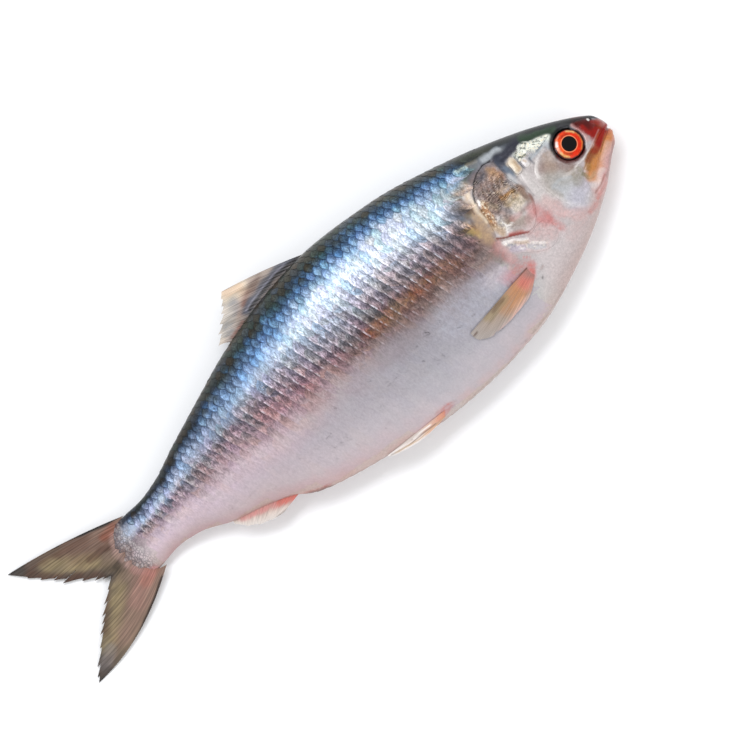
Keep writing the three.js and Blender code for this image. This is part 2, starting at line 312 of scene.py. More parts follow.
def stroke_layer(x, y, strokes):
    """Soft strokes of colour laid over each other: their mixed colour, and in alpha their cover.
    Most are stains of pigment; a few are painted glints, highlights and shade. A stroke has its
    colour, how strong and how wide in millimetres it is, and the line it follows."""
    wander = STROKE_WANDER * ripple(x, y, 4.5), STROKE_WANDER * ripple(y, x, 4.5, 1.0)
    mixed, cover = np.zeros((len(x), 3)), np.zeros(len(x))
    for pigment, strength, width, *line in strokes:
        loose = min(width / 3, 1)
        px, py = x + loose * wander[0], y + loose * wander[1]
        nearest = np.full_like(x, 1e9)
        for (x0, y0), (x1, y1) in zip(line, line[1:]):
            along = ((px - x0) * (x1 - x0) + (py - y0) * (y1 - y0)) / ((x1 - x0)**2 + (y1 - y0)**2)
            along = np.clip(along, 0, 1)
            off = np.hypot(px - x0 - along * (x1 - x0), py - y0 - along * (y1 - y0))
            nearest = np.minimum(nearest, off)
        into = np.clip(1.3 - 1.3 * nearest / width, 0, 1)
        amount = strength * into * into * (3 - 2 * into)
        mixed = mixed * (1 - amount)[:, None] + amount[:, None] * np.array(linear(PALETTE[pigment])[:3])
        cover = cover * (1 - amount) + amount
    return np.column_stack([mixed / np.maximum(cover, 1e-6)[:, None], cover])


EYE_X, EYE_Y = 176.9, 1.6
EYE_RADIUS = 8.4


def eye_arc(radius, start, end):
    """Points round the eye, from one angle in degrees to another."""
    return [(EYE_X + radius * math.cos(math.radians(d)), EYE_Y + radius * math.sin(math.radians(d)))
            for d in np.linspace(start, end, 13)]


TRUNK_STROKES = [
    ("ochre", 0.3, 6, (34, -3), (60, -3)), ("ochre", 0.2, 6, (60, -3), (90, -4)),
    ("rust", 0.85, 3.4, (30, -2), (31.5, -5)), ("rust", 0.6, 3.2, (64, -3), (66, -6)),
    ("rust", 0.55, 3, (40, -3), (42, -5)), ("rust", 0.5, 3.6, (72, -2), (75, -5)),
    ("rust", 0.5, 2.4, (-32, 3), (-30, 1)), ("rose", 0.2, 5, (-40, 0), (-8, -3)),
    ("black", 0.9, 1.2, (108.1, -21.8), (108.5, -21.6)), ("black", 0.7, 1.1, (119.8, -42.2), (120, -42)),
    ("mauve", 0.4, 1.4, (122, -38), (123.5, -37.6)), ("rose", 0.2, 4, (-85, -33), (-70, -38), (-58, -42)),
    ("coral", 0.25, 2.6, (-60, -42), (-53, -45)), ("coral", 0.45, 3.5, (26, -62), (37, -60)),
    ("petal", 0.35, 5, (0, -59), (24, -62)), ("umber", 0.6, 0.9, (-52, -44.6), (-45, -48.4), (-37, -51.4)),
    ("coral", 0.35, 1.8, (-54, -43), (-46, -47), (-38, -50)),
    ("umber", 0.25, 0.8, (-62, -39.2), (-52, -44.6), (-37, -51.4), (-33, -52.4)),
    ("dun", 0.3, 0.8, (-40, -50.2), (-27, -53.6), (0, -59.4), (24, -63.6), (40, -65.2), (75, -64.4),
     (110, -58.4), (124, -54.2)),
    ("soot", 0.45, 3, (92, 45.4), (108, 41.6), (126, 36.8)), ("mist", 0.25, 16, (68, -27), (94, -30)),
    ("pearl", 0.5, 7, (98, -26), (107, -26)), ("dun", 0.6, 4, (-139, 7), (-141.5, 2), (-142, -6)),
    ("rose", 0.5, 4, (120, -33), (116, -37)), ("coral", 0.35, 3, (119, -34), (115, -37.5)),
    ("slate", 0.18, 9, (-128, 6), (-134, 5)), ("mauve", 0.85, 8, (-146, 7), (-148.6, -6), (-145, -18)),
    ("pearl", 0.45, 2, (-137, 8), (-138.5, 0), (-136, -10)), ("umber", 0.35, 3, (-142, 8), (-146.5, -3)),
    ("umber", 0.5, 1.6, (-50, -45.4), (-45, -47.8), (-39, -50.2)),
    ("rust", 0.4, 3, (-141, 9.5), (-138, 9.8)), ("rose", 0.6, 3, (-146, -20), (-137, -21.5))]
GILL_REGION_STROKES = [
    ("ash", 0.6, 7, (108, 10), (110, 22)), ("slate", 0.7, 4, (106, 17), (107.5, 9)),
    ("moss", 0.65, 4, (117, 22.5), (124, 22)), ("slate", 0.7, 3.4, (126, 22.6), (130, 25)),
    ("moss", 0.7, 2.6, (124, 25.5), (132, 26)), ("sky", 0.8, 2.6, (111, 24.6), (116, 25.6)),
    ("chalk", 0.6, 1.6, (110, 22), (112.6, 21)), ("slate", 0.5, 2.4, (111.5, 10), (111, 18)),
    ("tan", 0.4, 5, (107, 5), (110, 0), (110, -5)), ("moss yellow", 0.55, 3, (105, 5), (106.6, 1)),
    ("straw", 0.35, 3, (108, 2), (109.4, -3)), ("horn", 0.6, 4, (112.8, 20), (112.4, 9)),
    ("tan", 0.65, 4.4, (120, 20), (116, 14), (115, 4), (113.4, -4), (111.5, -9)),
    ("cream", 0.6, 1.6, (119, 17.4), (117.2, 9), (116.6, 0)),
    ("umber", 0.6, 0.8, (113, 17), (115.2, 12), (114.6, 7)), ("mauve", 0.5, 5, (108, -11), (110, -20)),
    ("rose", 0.35, 5, (112.5, -14), (113.4, -24)), ("olive", 0.5, 3.4, (113.4, 18), (112.6, 10)),
    ("umber", 0.4, 1.2, (109, 12), (111, 6), (110, 1)), ("umber", 0.85, 3.8, (113, 18.6), (113, 11)),
    ("ochre", 0.3, 4, (106, 4), (109, 0)), ("rose", 0.4, 7, (107, -31), (114, -31)),
    ("coral", 0.2, 6, (108, -31), (117.6, -33.6)), ("silver", 0.8, 1.8, (121.4, 30.2), (127.4, 28.8)),
    ("cream", 0.55, 1.5, (129.6, 29.2), (134, 27.4)),
    ("umber", 0.6, 0.5, (98, -34), (108, -33), (118, -32))]
HEAD_TOP_STROKES = [
    ("olive", 0.9, 6, (128, 33), (141, 28.6)), ("slate", 0.6, 4, (137, 25), (149, 23.4)),
    ("ash", 0.6, 3.4, (130, 26.4), (140, 25.4), (149, 23)),
    ("mist", 0.8, 3.2, (138, 25.6), (142, 24.7), (147, 23.8)), ("olive", 0.85, 3.2, (131, 31), (138, 28.8)),
    ("night", 0.9, 4.6, (143, 20.4), (150, 20), (156, 20.4)),
    ("moss", 0.9, 4.4, (161, 18.6), (170, 15.2), (175, 12.8)),
    ("black", 0.85, 3.2, (128, 37.4), (140, 33.4), (160, 25.8), (176, 17.8), (188, 11.4), (196, 6)),
    ("black", 0.9, 4, (175, 13.4), (183, 10.4), (188, 8.8)), ("ash", 0.6, 3.4, (143, 13), (143.4, 8)),
    ("slate", 0.65, 3.8, (142.8, 19), (143, 11)), ("night", 0.4, 3.4, (142.5, 21), (143.6, 17)),
    ("sky", 0.15, 3, (142.4, 14), (143, 8)), ("pearl", 0.8, 2.2, (141.2, 9.6), (142.4, 4)),
    ("ochre", 0.5, 2.2, (141.4, 1.8), (141.4, -1)),
    # The silver over the temple: partly the skin's silver, partly a painted reflection.
    ("silver", 1.0, 3.8, (152, 14.6), (158, 15), (163, 12.8), (169.5, 12)),
    ("silver", 0.9, 2.2, (156, 17.6), (159, 17)),
    ("moss", 0.9, 3, (160, 20.6), (166, 17.6), (171, 15.4), (176, 12.8)),
    ("moss", 0.85, 0.9, (152, 13.8), (155.6, 12.4)), ("moss", 0.6, 0.7, (156, 16.8), (157.6, 14.6)),
    ("moss", 0.8, 0.8, (158, 18.6), (159.8, 16.6)), ("moss", 0.6, 0.8, (151, 15), (152.6, 16.4)),
    ("moss", 0.6, 0.7, (163, 14.6), (165.4, 13.6)), ("mist", 0.8, 1.8, (156.5, 9.8), (167, 10.6)),
    ("slate", 0.6, 0.7, (161.4, 10.2), (165.6, 10.6)), ("mist", 0.7, 1.6, (167.4, 7), (168.4, 11)),
    ("cream", 0.9, 3.5, (147.1, 8.8), (147.1, 14.4)), ("tan", 0.75, 2.4, (147.8, 8.6), (148, 13)),
    ("cream", 0.6, 1.2, (147, 10), (147.2, 14.6)), ("night", 0.7, 1.6, (144.6, 18.4), (150.4, 18.4)),
    ("chalk", 0.7, 2.4, (153, 8), (153, 10.8)), ("tan", 0.5, 1, (153.4, 9.8), (152.8, 11)),
    ("slate", 0.75, 0.7, (150.5, 7.5), (150.4, 15.5)), ("slate", 0.8, 0.8, (155.8, 6), (156, 9.8)),
    ("umber", 0.4, 0.8, (144.5, 6.6), (149.6, 6.8))]
CHEEK_STROKES = [
    ("pearl", 0.95, 5.5, (147.6, 4), (147.5, -6), (148.5, -14)),
    ("petal", 0.6, 6, (147.6, -14), (150, -22)), ("pearl", 0.85, 10, (157, 0), (160, -14), (164, -22)),
    ("mauve", 0.45, 4.6, (157, 2), (162, 4)), ("mauve", 0.7, 5.6, (159, 0), (165, -3), (168.5, -7.5)),
    ("tan", 0.25, 5, (161, -2), (164.5, 4)), ("ash", 0.3, 7, (157, -6), (159, -11)),
    ("mist", 0.6, 10, (160, -13), (161, -21)), ("horn", 0.3, 6, (156, -5), (161, -9), (166, -11)),
    ("horn", 0.25, 3, (153, -9), (155, -16)), ("lilac", 0.5, 8, (167, -20), (160, -24)),
    ("moss yellow", 0.4, 4.4, (167, -16), (171.4, -12.6)),
    ("chalk", 0.4, 1.5, (152.4, -1), (155.2, 4), (159.4, 7.4), (165, 8.4)),
    ("chalk", 0.2, 2, (151.4, -6), (152.8, -15), (156.4, -23), (160, -27)),
    ("chalk", 0.3, 1.6, (163, -9.6), (170, -10.6)),
    ("petal", 0.45, 4.4, (151, -25), (158, -30.6), (166, -32)),
    ("coral", 0.25, 2.6, (162, -32.6), (170, -30.5)), ("mist", 0.4, 1.4, (155, -10), (160, -9), (166, -12)),
    ("slate", 0.25, 0.9, (144.5, 13), (144.2, 2), (144.8, -6)),
    ("petal", 0.75, 1.7, (185, 8), (186.2, 3), (186, -3)),
    ("mauve", 0.12, 1.3, (184.9, 7), (186.2, 3), (186, -2), (184.4, -5))]
SNOUT_STROKES = [
    ("blood", 1.0, 5.4, (189, 7), (190.8, 0), (190.8, -3.8), (195, -2)),
    ("rust", 0.8, 4, (196.4, 0), (198.6, -3.6)), ("maroon", 0.95, 3.8, (188, 7.6), (192, 3.4)),
    ("maroon", 0.6, 2.2, (189.6, 1.6), (193.4, -0.6)), ("blood", 0.5, 1.6, (188, 3), (188.6, -2)),
    ("rose", 0.45, 2.4, (197, 0), (198, -2.6)), ("blood", 0.6, 1.6, (194, 2.4), (196, 0)),
    ("black", 0.85, 1.9, (184, 10.8), (192, 7.4), (197.4, 3.4)),
    # The nostril: a black pit of painted shade, and a chalk mark beside it as a painted glint.
    ("black", 0.9, 1.0, (194.3, 3.6), (194.6, 4.4)), ("chalk", 0.95, 0.8, (193.2, 4.9), (193.2, 4.1)),
    ("petal", 0.5, 1.4, (198.6, 0.6), (199.4, -2.4)),
    ("chalk", 0.5, 0.8, (171, -9.6), (177, -9.2), (183, -7.7)),
    ("petal", 0.3, 0.8, (183, -7.7), (189, -5.2), (194, -3.1)), ("blood", 0.85, 2, (188.6, 4), (188.4, -1)),
    ("blood", 0.85, 1.8, (189, -3), (193, -1.6))]
JAW_STROKES = [
    ("petal", 0.95, 6.5, (198.6, -10), (190, -15.4), (182, -22), (173.6, -27.6)),
    ("flesh", 0.9, 4.6, (199, -8), (190, -11.8), (183, -15.8), (176, -20.4)),
    ("rose", 0.35, 5, (194, -13), (180, -23)), ("amber", 0.35, 3.4, (199, -7.6), (191, -11.6)),
    # Painted highlights: the chalk strokes on the lower jaw between x 184 and 194.
    ("coral", 0.3, 2, (199.6, -8), (196, -11)), ("chalk", 0.2, 1.6, (184.4, -15.2), (193, -10.8)),
    ("chalk", 0.4, 2.6, (172.4, -24.2), (181, -20.2)), ("chalk", 0.12, 2, (184, -18.2), (194, -11.6)),
    ("mauve", 0.5, 1.4, (196, -13), (188, -19), (181, -24.6)),
    ("rust", 0.45, 0.7, (170.4, -27.2), (175, -25.4), (180.6, -22.8)),
    ("coral", 0.3, 1.8, (170, -29.6), (178, -26.6)), ("amber", 0.3, 2, (199.6, -8.4), (195, -10)),
    ("amber", 0.9, 4.8, (193, -7.8), (187, -10.4), (180, -14.4), (174.6, -18.4)),
    ("coral", 0.6, 2.4, (198.8, -6), (192, -8.2), (188, -9.6)),
    ("ochre", 0.85, 2.6, (184, -9.6), (178.6, -11.6), (176, -14)),
    ("rust", 0.7, 2.4, (192, -7.4), (184, -10), (179, -11.6)),
    ("flesh", 0.35, 3, (177, -19), (173.6, -19.6)),
    ("blood", 0.97, 3, (199, -4.3), (194, -6), (189.4, -7.9)),
    ("blood", 0.55, 2.4, (191, -7.2), (184, -10)), ("moss yellow", 0.5, 1.8, (172, -15.4), (172.6, -18)),
    ("tan", 0.5, 2, (173, -19.6), (177, -18.6)),
    ("soot", 0.4, 0.5, (199.8, -5.6), (194, -8.6), (187, -12.4))]
GILL_COVER_STROKES = [
    ("pearl", 0.8, 12, (124, -8), (136, -12)), ("mauve", 0.95, 10, (127, 16), (128, 4)),
    ("umber", 0.5, 6, (126, 12), (128, 5)), ("slate", 0.5, 3.4, (125, 18.4), (134, 19.6)),
    ("umber", 0.35, 4, (131, 21.5), (138, 21)), ("dun", 0.6, 5.4, (136.6, 18), (137.6, 12)),
    ("flesh", 0.3, 5, (135.4, 16.4), (136.6, 12)), ("ochre", 0.35, 5, (135.2, 16.6), (136, 12)),
    ("umber", 0.4, 1.6, (132, 13), (137, 10.4)), ("umber", 0.5, 3.4, (131.5, 10.5), (136.6, 8)),
    ("tan", 0.5, 2, (131, 6.6), (137, 6.4)), ("ochre", 0.9, 1.9, (130.8, 3.6), (138, 2.8)),
    ("umber", 0.9, 1.2, (138.4, 3.4), (138.6, 2)), ("mauve", 0.8, 4.6, (124, 1), (128, -2), (126, -8)),
    ("ash", 0.4, 3, (127.6, 0), (129, -4)), ("cream", 0.55, 3.4, (133.6, -5.4), (137, -3.6), (140.4, -1.6)),
    ("straw", 0.3, 4, (131.6, -0.6), (137, 0)), ("horn", 0.35, 4, (123, -7), (131, -12)),
    ("horn", 0.3, 3, (134, -2), (141, -6)), ("rose", 0.35, 2.6, (128, -8.4), (132, -8.6)),
    ("mauve", 0.6, 2.4, (134, -8.6), (139, -8.4), (142.6, -5.6)), ("petal", 0.6, 3, (134, -14), (140, -13)),
    ("horn", 0.5, 3, (121.4, 8), (120, 2), (119, -5)),
    ("amber", 0.5, 2.8, (121.4, 7), (119.8, 1), (119, -4)), ("tan", 0.75, 3, (117, -5), (119.4, -10)),
    ("ochre", 0.6, 1.6, (118.6, 6), (118, -2)), ("slate", 0.4, 2.2, (138.6, 12), (139, 7)),
    ("umber", 0.45, 2.6, (121.6, 12), (126, 17)), ("amber", 0.2, 3, (138, 17), (138.6, 13)),
    ("tan", 0.4, 3, (135, 19), (137, 16)), ("horn", 0.4, 2.4, (123, 5), (126, 1.6)),
    ("ochre", 0.4, 2.4, (132, 3), (137, 2.4)), ("ochre", 0.4, 2, (136, -0.4), (139.6, 0.6)),
    ("slate", 0.35, 2.4, (128, 17.6), (133, 18.4)), ("chalk", 0.9, 1.2, (119.8, 8.6), (120.4, 10.4)),
    # Painted glints: the chalk strokes near (123, -9) on the gill cover.
    ("chalk", 0.95, 0.9, (122.6, -6.2), (123, -9.4), (121.4, -11.4)),
    ("chalk", 0.9, 0.8, (123, -9.4), (126.4, -9.8)), ("coral", 0.5, 1.4, (121.4, -13.4), (127.6, -16.2)),
    ("dun", 0.9, 2.8, (141, 3.4), (141.8, 0), (141.4, -4)), ("mauve", 0.5, 4, (126, -13), (134, -14)),
    ("slate", 0.6, 1.2, (141.2, 20), (141.4, 13)), ("mist", 0.5, 1.8, (141.2, 10), (142, 5)),
    ("rust", 0.5, 1.2, (143.4, -4.6), (142, -9), (138.6, -14)),
    ("black", 0.9, 0.7, (139.6, 22.7), (135, 23.4), (130, 22.2), (125, 19.4), (121, 15.8), (118.6, 11)),
    ("rust", 0.8, 1.1, (115, -10.8), (119, -13.2), (123, -15.2), (127, -17.2), (129.8, -19.2)),
    ("blood", 0.55, 1.4, (121, -14), (125, -16), (129.6, -18.8))]
THROAT_STROKES = [
    ("petal", 0.5, 8, (133, -20), (139, -26)), ("rose", 0.6, 6, (140, -12), (141.4, -20)),
    ("rose", 0.5, 2.6, (138.6, -18), (142.6, -21.4)), ("coral", 0.22, 2.6, (143, -18), (144.6, -29)),
    ("rose", 0.35, 3.4, (143, -21), (144.6, -29)), ("petal", 0.5, 3, (113.6, -14), (114.6, -24)),
    ("pearl", 0.3, 6, (118, -18), (124, -24), (131, -30)),
    # The chalk along the upper edge of the lobe under the gill cover: partly its own white, partly painted
    # highlight.
    ("chalk", 0.8, 2.2, (116.2, -15), (121, -17.8), (126, -21.6)),
    ("petal", 0.35, 5, (119, -20), (126, -26), (131, -30)), ("tan", 0.5, 1.5, (120.6, -18.6), (126, -22.4)),
    ("lilac", 0.6, 3, (117.6, -19.6), (122, -23.4)), ("ash", 0.6, 1.1, (116.8, -17), (119.6, -19)),
    ("mist", 0.6, 2.4, (125, -25), (131, -30)), ("chalk", 0.6, 1.2, (127.6, -24.4), (132.6, -28.6)),
    ("chalk", 0.6, 0.9, (120.6, -22.6), (122, -23.6)), ("rose", 0.5, 0.9, (118.6, -27), (122, -29.6)),
    ("petal", 0.2, 6, (146, -35), (156, -33))]
ORBIT_STROKES = [
    ("soot", 1.0, 1.3, *eye_arc(8.3, 50, 310)), ("maroon", 0.6, 0.9, *eye_arc(8.3, -60, 20)),
    ("black", 0.9, 2.4, *eye_arc(9.3, 85, 185)), ("maroon", 0.8, 1.7, *eye_arc(9.2, 185, 300))]
SKIN_STROKES = (TRUNK_STROKES + GILL_REGION_STROKES + HEAD_TOP_STROKES + CHEEK_STROKES + SNOUT_STROKES
                + JAW_STROKES + GILL_COVER_STROKES + THROAT_STROKES + ORBIT_STROKES)


def skin_values(x, y):
    """All that the skin's material reads at (x, y)."""
    head = np.clip((x - HEAD_X) / 14, 0, 1)
    return {"band": flank_band(x, y), "along": (x + 200) / 400, "head": head, "mottle": 0.04 + 0.05 * head,
            "stain": stroke_layer(x, y, SKIN_STROKES)}


def skin_relief(x, y):
    """The eye socket and the soft folds of the skin, as heights over the smooth body."""
    from_eye = np.hypot(x - EYE_X, y - EYE_Y)
    socket = -SOCKET_DEPTH * np.clip((EYE_RADIUS + 0.6 - from_eye) / 1.2, 0, 1)
    rim = SOCKET_RIM * np.exp(-((from_eye - EYE_RADIUS - 1.6) / 1.1)**2)
    return socket + rim + 0.12 * ripple(x, y, 6) * np.clip((x - HEAD_X) / 10, 0, 1)


# The skin's mesh: points round each cross-section, and where the sections lie, closest at both ends.
AROUND = 256
nose = SNOUT_X - SNOUT_ROUND * (1 - np.cos(np.linspace(0, math.pi / 2, 15)))
root = BODY_END_X + ROOT_ROUND * (1 - np.sin(np.linspace(0, math.pi / 2, 17)))
STATIONS = np.concatenate([nose, np.linspace(nose[-1], 100, 171)[1:], np.linspace(100, root[0], 110)[1:-1],
                           root])


def skin_place(a, b, c):
    """The skin from a ball's points: each ring of the ball becomes one cross-section."""
    ring = np.round(np.arccos(np.clip(c, -1, 1)) / math.pi * (len(STATIONS) - 1)).astype(int)
    x = STATIONS[ring]
    # The points lie closer on the flanks than along the back and the keel.
    even = np.arctan2(b, a)
    turn = even + 0.2 * np.sin(2 * even)
    y, out = around_body(x, turn)
    relief = skin_relief(x, y) * (np.abs(np.sin(turn)) > 0.2)
    z = middle_height(x) + np.where(np.sin(turn) >= 0, 1, -1) * (out + relief)
    small_scales = np.clip((SMALL_SCALES_X - x) / 8, 0, 1) * np.clip((y + 24) / 6, 0.25, 1)
    values = {**skin_values(x, y), "crackle": small_scales}
    x = x - MOUTH_DEPTH * np.exp(-((y - MOUTH_Y) / MOUTH_HALF)**2) * np.clip((x - 195) / 4, 0, 1)
    x = x + 1.4 * ripple(y, 0 * y, 2.2) * np.clip((RAGGED_X - x) / 6, 0, 1)
    return np.stack([x, y, np.maximum(z, 0)], axis=-1), values


def vary(tree, colour, pattern, span, swing, depth=1.0):
    """Darkens and lightens colour by the pattern: over its span the swing runs between two shares."""
    swing = add(tree, "MapRange", {"Value": pattern, "From Min": span[0], "From Max": span[1],
                                   "To Min": swing[0], "To Max": swing[1]})
    swing = add(tree, "Math", {0: swing, 1: depth, 2: 1.0}, operation="MULTIPLY_ADD")
    return add(tree, "VectorMath", {0: colour, 1: swing}, operation="MULTIPLY")


def lay_over(tree, colour, code, pattern, span, strength, mask):
    """Lays a flat colour over colour: none at the start of the pattern's span, to strength at its end."""
    cover = add(tree, "MapRange", {"Value": pattern, "From Min": span[0], "From Max": span[1],
                                   "To Max": strength})
    cover = add(tree, "Math", {0: cover, 1: mask}, operation="MULTIPLY", use_clamp=True)
    return add(tree, "MixRGB", {0: cover, 1: colour, 2: linear(code)})


def with_strokes(tree, colour, noise):
    """Lays the strokes over colour, their soft edges made ragged by the noise; full cover stays full."""
    stain, cover = (add(tree, "Attribute", out=key, attribute_name="stain") for key in ("Color", "Alpha"))
    loose = add(tree, "Math", {0: 1.0, 1: cover}, operation="SUBTRACT")
    loose = add(tree, "Math", {0: loose, 1: cover}, operation="MULTIPLY")
    swing = add(tree, "MapRange", {"Value": noise, "From Min": 0.35, "From Max": 0.65,
                                   "To Min": -0.8, "To Max": 0.8})
    cover = add(tree, "Math", {0: loose, 1: swing, 2: cover}, operation="MULTIPLY_ADD", use_clamp=True)
    return add(tree, "MixRGB", {0: cover, 1: colour, 2: stain})


# Colours from the back (0) to the belly (1), on the root of the tail and on the head. The pale
# blue-white band near 0.2 is partly silver and partly a painted reflection.
TAIL_BANDS = (
    (0.0, "#24262a"), (0.08, "#303746"), (0.12, "#7e8da8"), (0.175, "#c2d1e9"), (0.25, "#c2c6d6"),
    (0.4, "#988990"), (0.6, "#a8969b"), (0.66, "#ccbdc0"), (0.75, "#cdbcbc"), (0.88, "#bdaaa5"),
    (1.0, "#b3968f"))
HEAD_BANDS = (
    (0.0, "#1b1e1e"), (0.09, "#262b2b"), (0.14, "#50545c"), (0.2, "#93939b"), (0.35, "#b4aba9"),
    (0.6, "#bcb1b1"), (0.85, "#bfb5b4"), (0.94, "#c0b2b0"), (1.0, "#bda6a0"))


def pigment_and_reflection_colour(tree, front_bands, rear_bands):
    """The colour of the skin: its band along the fish, the white band partly a painted reflection,
    with the strokes over it.
    """
    value = {key: add(tree, "Attribute", out="Fac", attribute_name=key) for key in ("band", "along", "head")}
    place = add(tree, "TexCoord", out="Object")
    wander = add(tree, "TexNoise", {"Vector": place, "Scale": 1 / (9 * MM), "Detail": 4.0})
    shift = add(tree, "MapRange", {"Value": wander, "From Min": 0.3, "From Max": 0.7,
                                   "To Min": -0.022, "To Max": 0.022})
    band = add(tree, "Math", {0: value["band"], 1: shift}, operation="ADD")
    colour = add(tree, "ValToRGB", {0: band}, TAIL_BANDS)
    for start, end, bands in ((0.2, 0.45, rear_bands), (0.4, 0.6, front_bands)):
        forward = add(tree, "MapRange", {"Value": value["along"], "From Min": start, "From Max": end})
        colour = add(tree, "MixRGB", {0: forward, 1: colour, 2: add(tree, "ValToRGB", {0: band}, bands)})
    head = add(tree, "ValToRGB", {0: value["band"]}, HEAD_BANDS)
    colour = add(tree, "MixRGB", {0: value["head"], 1: colour, 2: head})
    blotch = add(tree, "TexNoise", {"Vector": place, "Scale": 1 / (2.2 * MM), "Detail": 5.0,
                                    "Roughness": 0.65})
    return with_strokes(tree, colour, blotch), value, place


WAVE_LENGTH = 0.314                   # of a wave texture at scale 1


def wet_skin():
    """Raw fish skin, wet: thin clear slime over silver and dark pigment, smooth on the belly. Over the
    gill cover it is worm-marked with dark lines, and flecked with gold where the silver is thick, the
    palest flecks painted glints."""
    material, tree, shader = new_material("wet_fish_skin", {
        "Metallic": 0.1, "Roughness": 0.34, "Specular IOR Level": 0.15, "Coat Weight": 0.18,
        "Coat Roughness": 0.12})
    worm, gilt, crackle, mottle = (add(tree, "Attribute", out="Fac", attribute_name=key)
                                   for key in ("worm", "gilt", "crackle", "mottle"))
    # Near 0.2 the blue-white colours are partly silver, partly a painted reflection of the back lamp.
    colour, _, place = pigment_and_reflection_colour(tree, (
        (0.0, "#333435"), (0.06, "#2b3032"), (0.09, "#31414f"), (0.13, "#6d86a8"), (0.175, "#a9bed2"),
        (0.217, "#c8d3db"), (0.26, "#c0cad3"), (0.312, "#a9abb2"), (0.39, "#8b888f"), (0.436, "#78706f"),
        (0.49, "#776462"), (0.543, "#745f5b"), (0.6, "#84746f"), (0.66, "#8e8583"), (0.707, "#95908f"),
        (0.77, "#9f9e9d"), (0.85, "#acabaa"), (0.905, "#b3b0ae"), (0.96, "#bfb6b2"), (1.0, "#c2ada5")), (
        (0.0, "#2f3133"), (0.06, "#2b353d"), (0.078, "#36475a"), (0.136, "#5f7c9d"), (0.196, "#87a1bd"),
        (0.267, "#8c90a1"), (0.35, "#84767f"), (0.435, "#8c7277"), (0.51, "#947a80"), (0.58, "#a18f98"),
        (0.63, "#b2a1a6"), (0.668, "#bdafb2"), (0.71, "#bab0b0"), (0.768, "#b7afae"), (0.885, "#c2b8b5"),
        (0.943, "#c5b2ae"), (1.0, "#c4a69e")))
    # The gill cover's wavy dark lines, about a millimetre apart, with lighter skin between them.
    waves = add(tree, "TexWave", {"Vector": place, "Scale": WAVE_LENGTH / (1.2 * MM), "Distortion": 17.0,
                                  "Detail": 3.0, "Detail Scale": 0.8}, out="Fac", bands_direction="Y")
    patchy = add(tree, "TexNoise", {"Vector": place, "Scale": 1 / (4 * MM), "Detail": 2.0})
    patchy = add(tree, "MapRange", {"Value": patchy, "From Min": 0.35, "From Max": 0.6})
    worm = add(tree, "Math", {0: worm, 1: patchy}, operation="MULTIPLY")
    colour = lay_over(tree, colour, "#241b18", waves, (0.5, 0.1), 0.75, worm)
    colour = lay_over(tree, colour, "#dccdb6", waves, (0.7, 0.95), 0.4, worm)
    # Gold flecks, dark ones and pale ones; the pale ones are partly gold and partly painted glints.
    fleck = add(tree, "TexNoise", {"Vector": place, "Scale": 1 / (1.2 * MM), "Detail": 2.0})
    colour = lay_over(tree, colour, "#f8ecd2", fleck, (0.55, 0.6), 1.0, gilt)
    colour = lay_over(tree, colour, "#4a3a2c", fleck, (0.42, 0.36), 0.7, gilt)
    # The smallest scales, over the root of the tail: dark seams round uneven pale cells.
    flat = add(tree, "VectorMath", {0: place, 1: (1.0, 0.75, 0.0)}, operation="MULTIPLY")
    cells = {"Vector": flat, "Scale": 1 / (1.3 * MM)}
    seam = add(tree, "TexVoronoi", cells, feature="DISTANCE_TO_EDGE")
    colour = lay_over(tree, colour, "#4c4a50", seam, (0.2, 0.02), 0.7, crackle)
    cell = add(tree, "TexVoronoi", cells, out="Color")
    colour = lay_over(tree, colour, "#cbc2c2", cell, (0.5, 0.8), 0.42, crackle)
    # Pigment mottles the skin in spots of one to two millimetres, boldest on the gill cover.
    spots = add(tree, "TexNoise", {"Vector": place, "Scale": 1 / (1.7 * MM), "Detail": 6.0,
                                   "Roughness": 0.75})
    colour = vary(tree, colour, spots, (0.38, 0.62), (-1.0, 0.7), mottle)
    grain = add(tree, "TexNoise", {"Vector": place, "Scale": 1 / (0.9 * MM), "Detail": 3.0})
    colour = vary(tree, colour, grain, (0.3, 0.7), (-0.2, -0.02))
    tree.links.new(colour, shader.inputs["Base Color"])
    bump = add(tree, "Bump", {"Height": grain, "Strength": 0.2, "Distance": 0.3 * MM})
    ridges = add(tree, "Math", {0: waves, 1: worm}, operation="MULTIPLY")
    bump = add(tree, "Bump", {"Height": ridges, "Strength": 0.5, "Distance": 0.3 * MM, "Normal": bump})
    tree.links.new(bump, shader.inputs["Normal"])
    return material


fish_skin = wet_skin()
finish_piece(ball(AROUND, len(STATIONS) - 1), "skin", skin_place, fish_skin, "body")

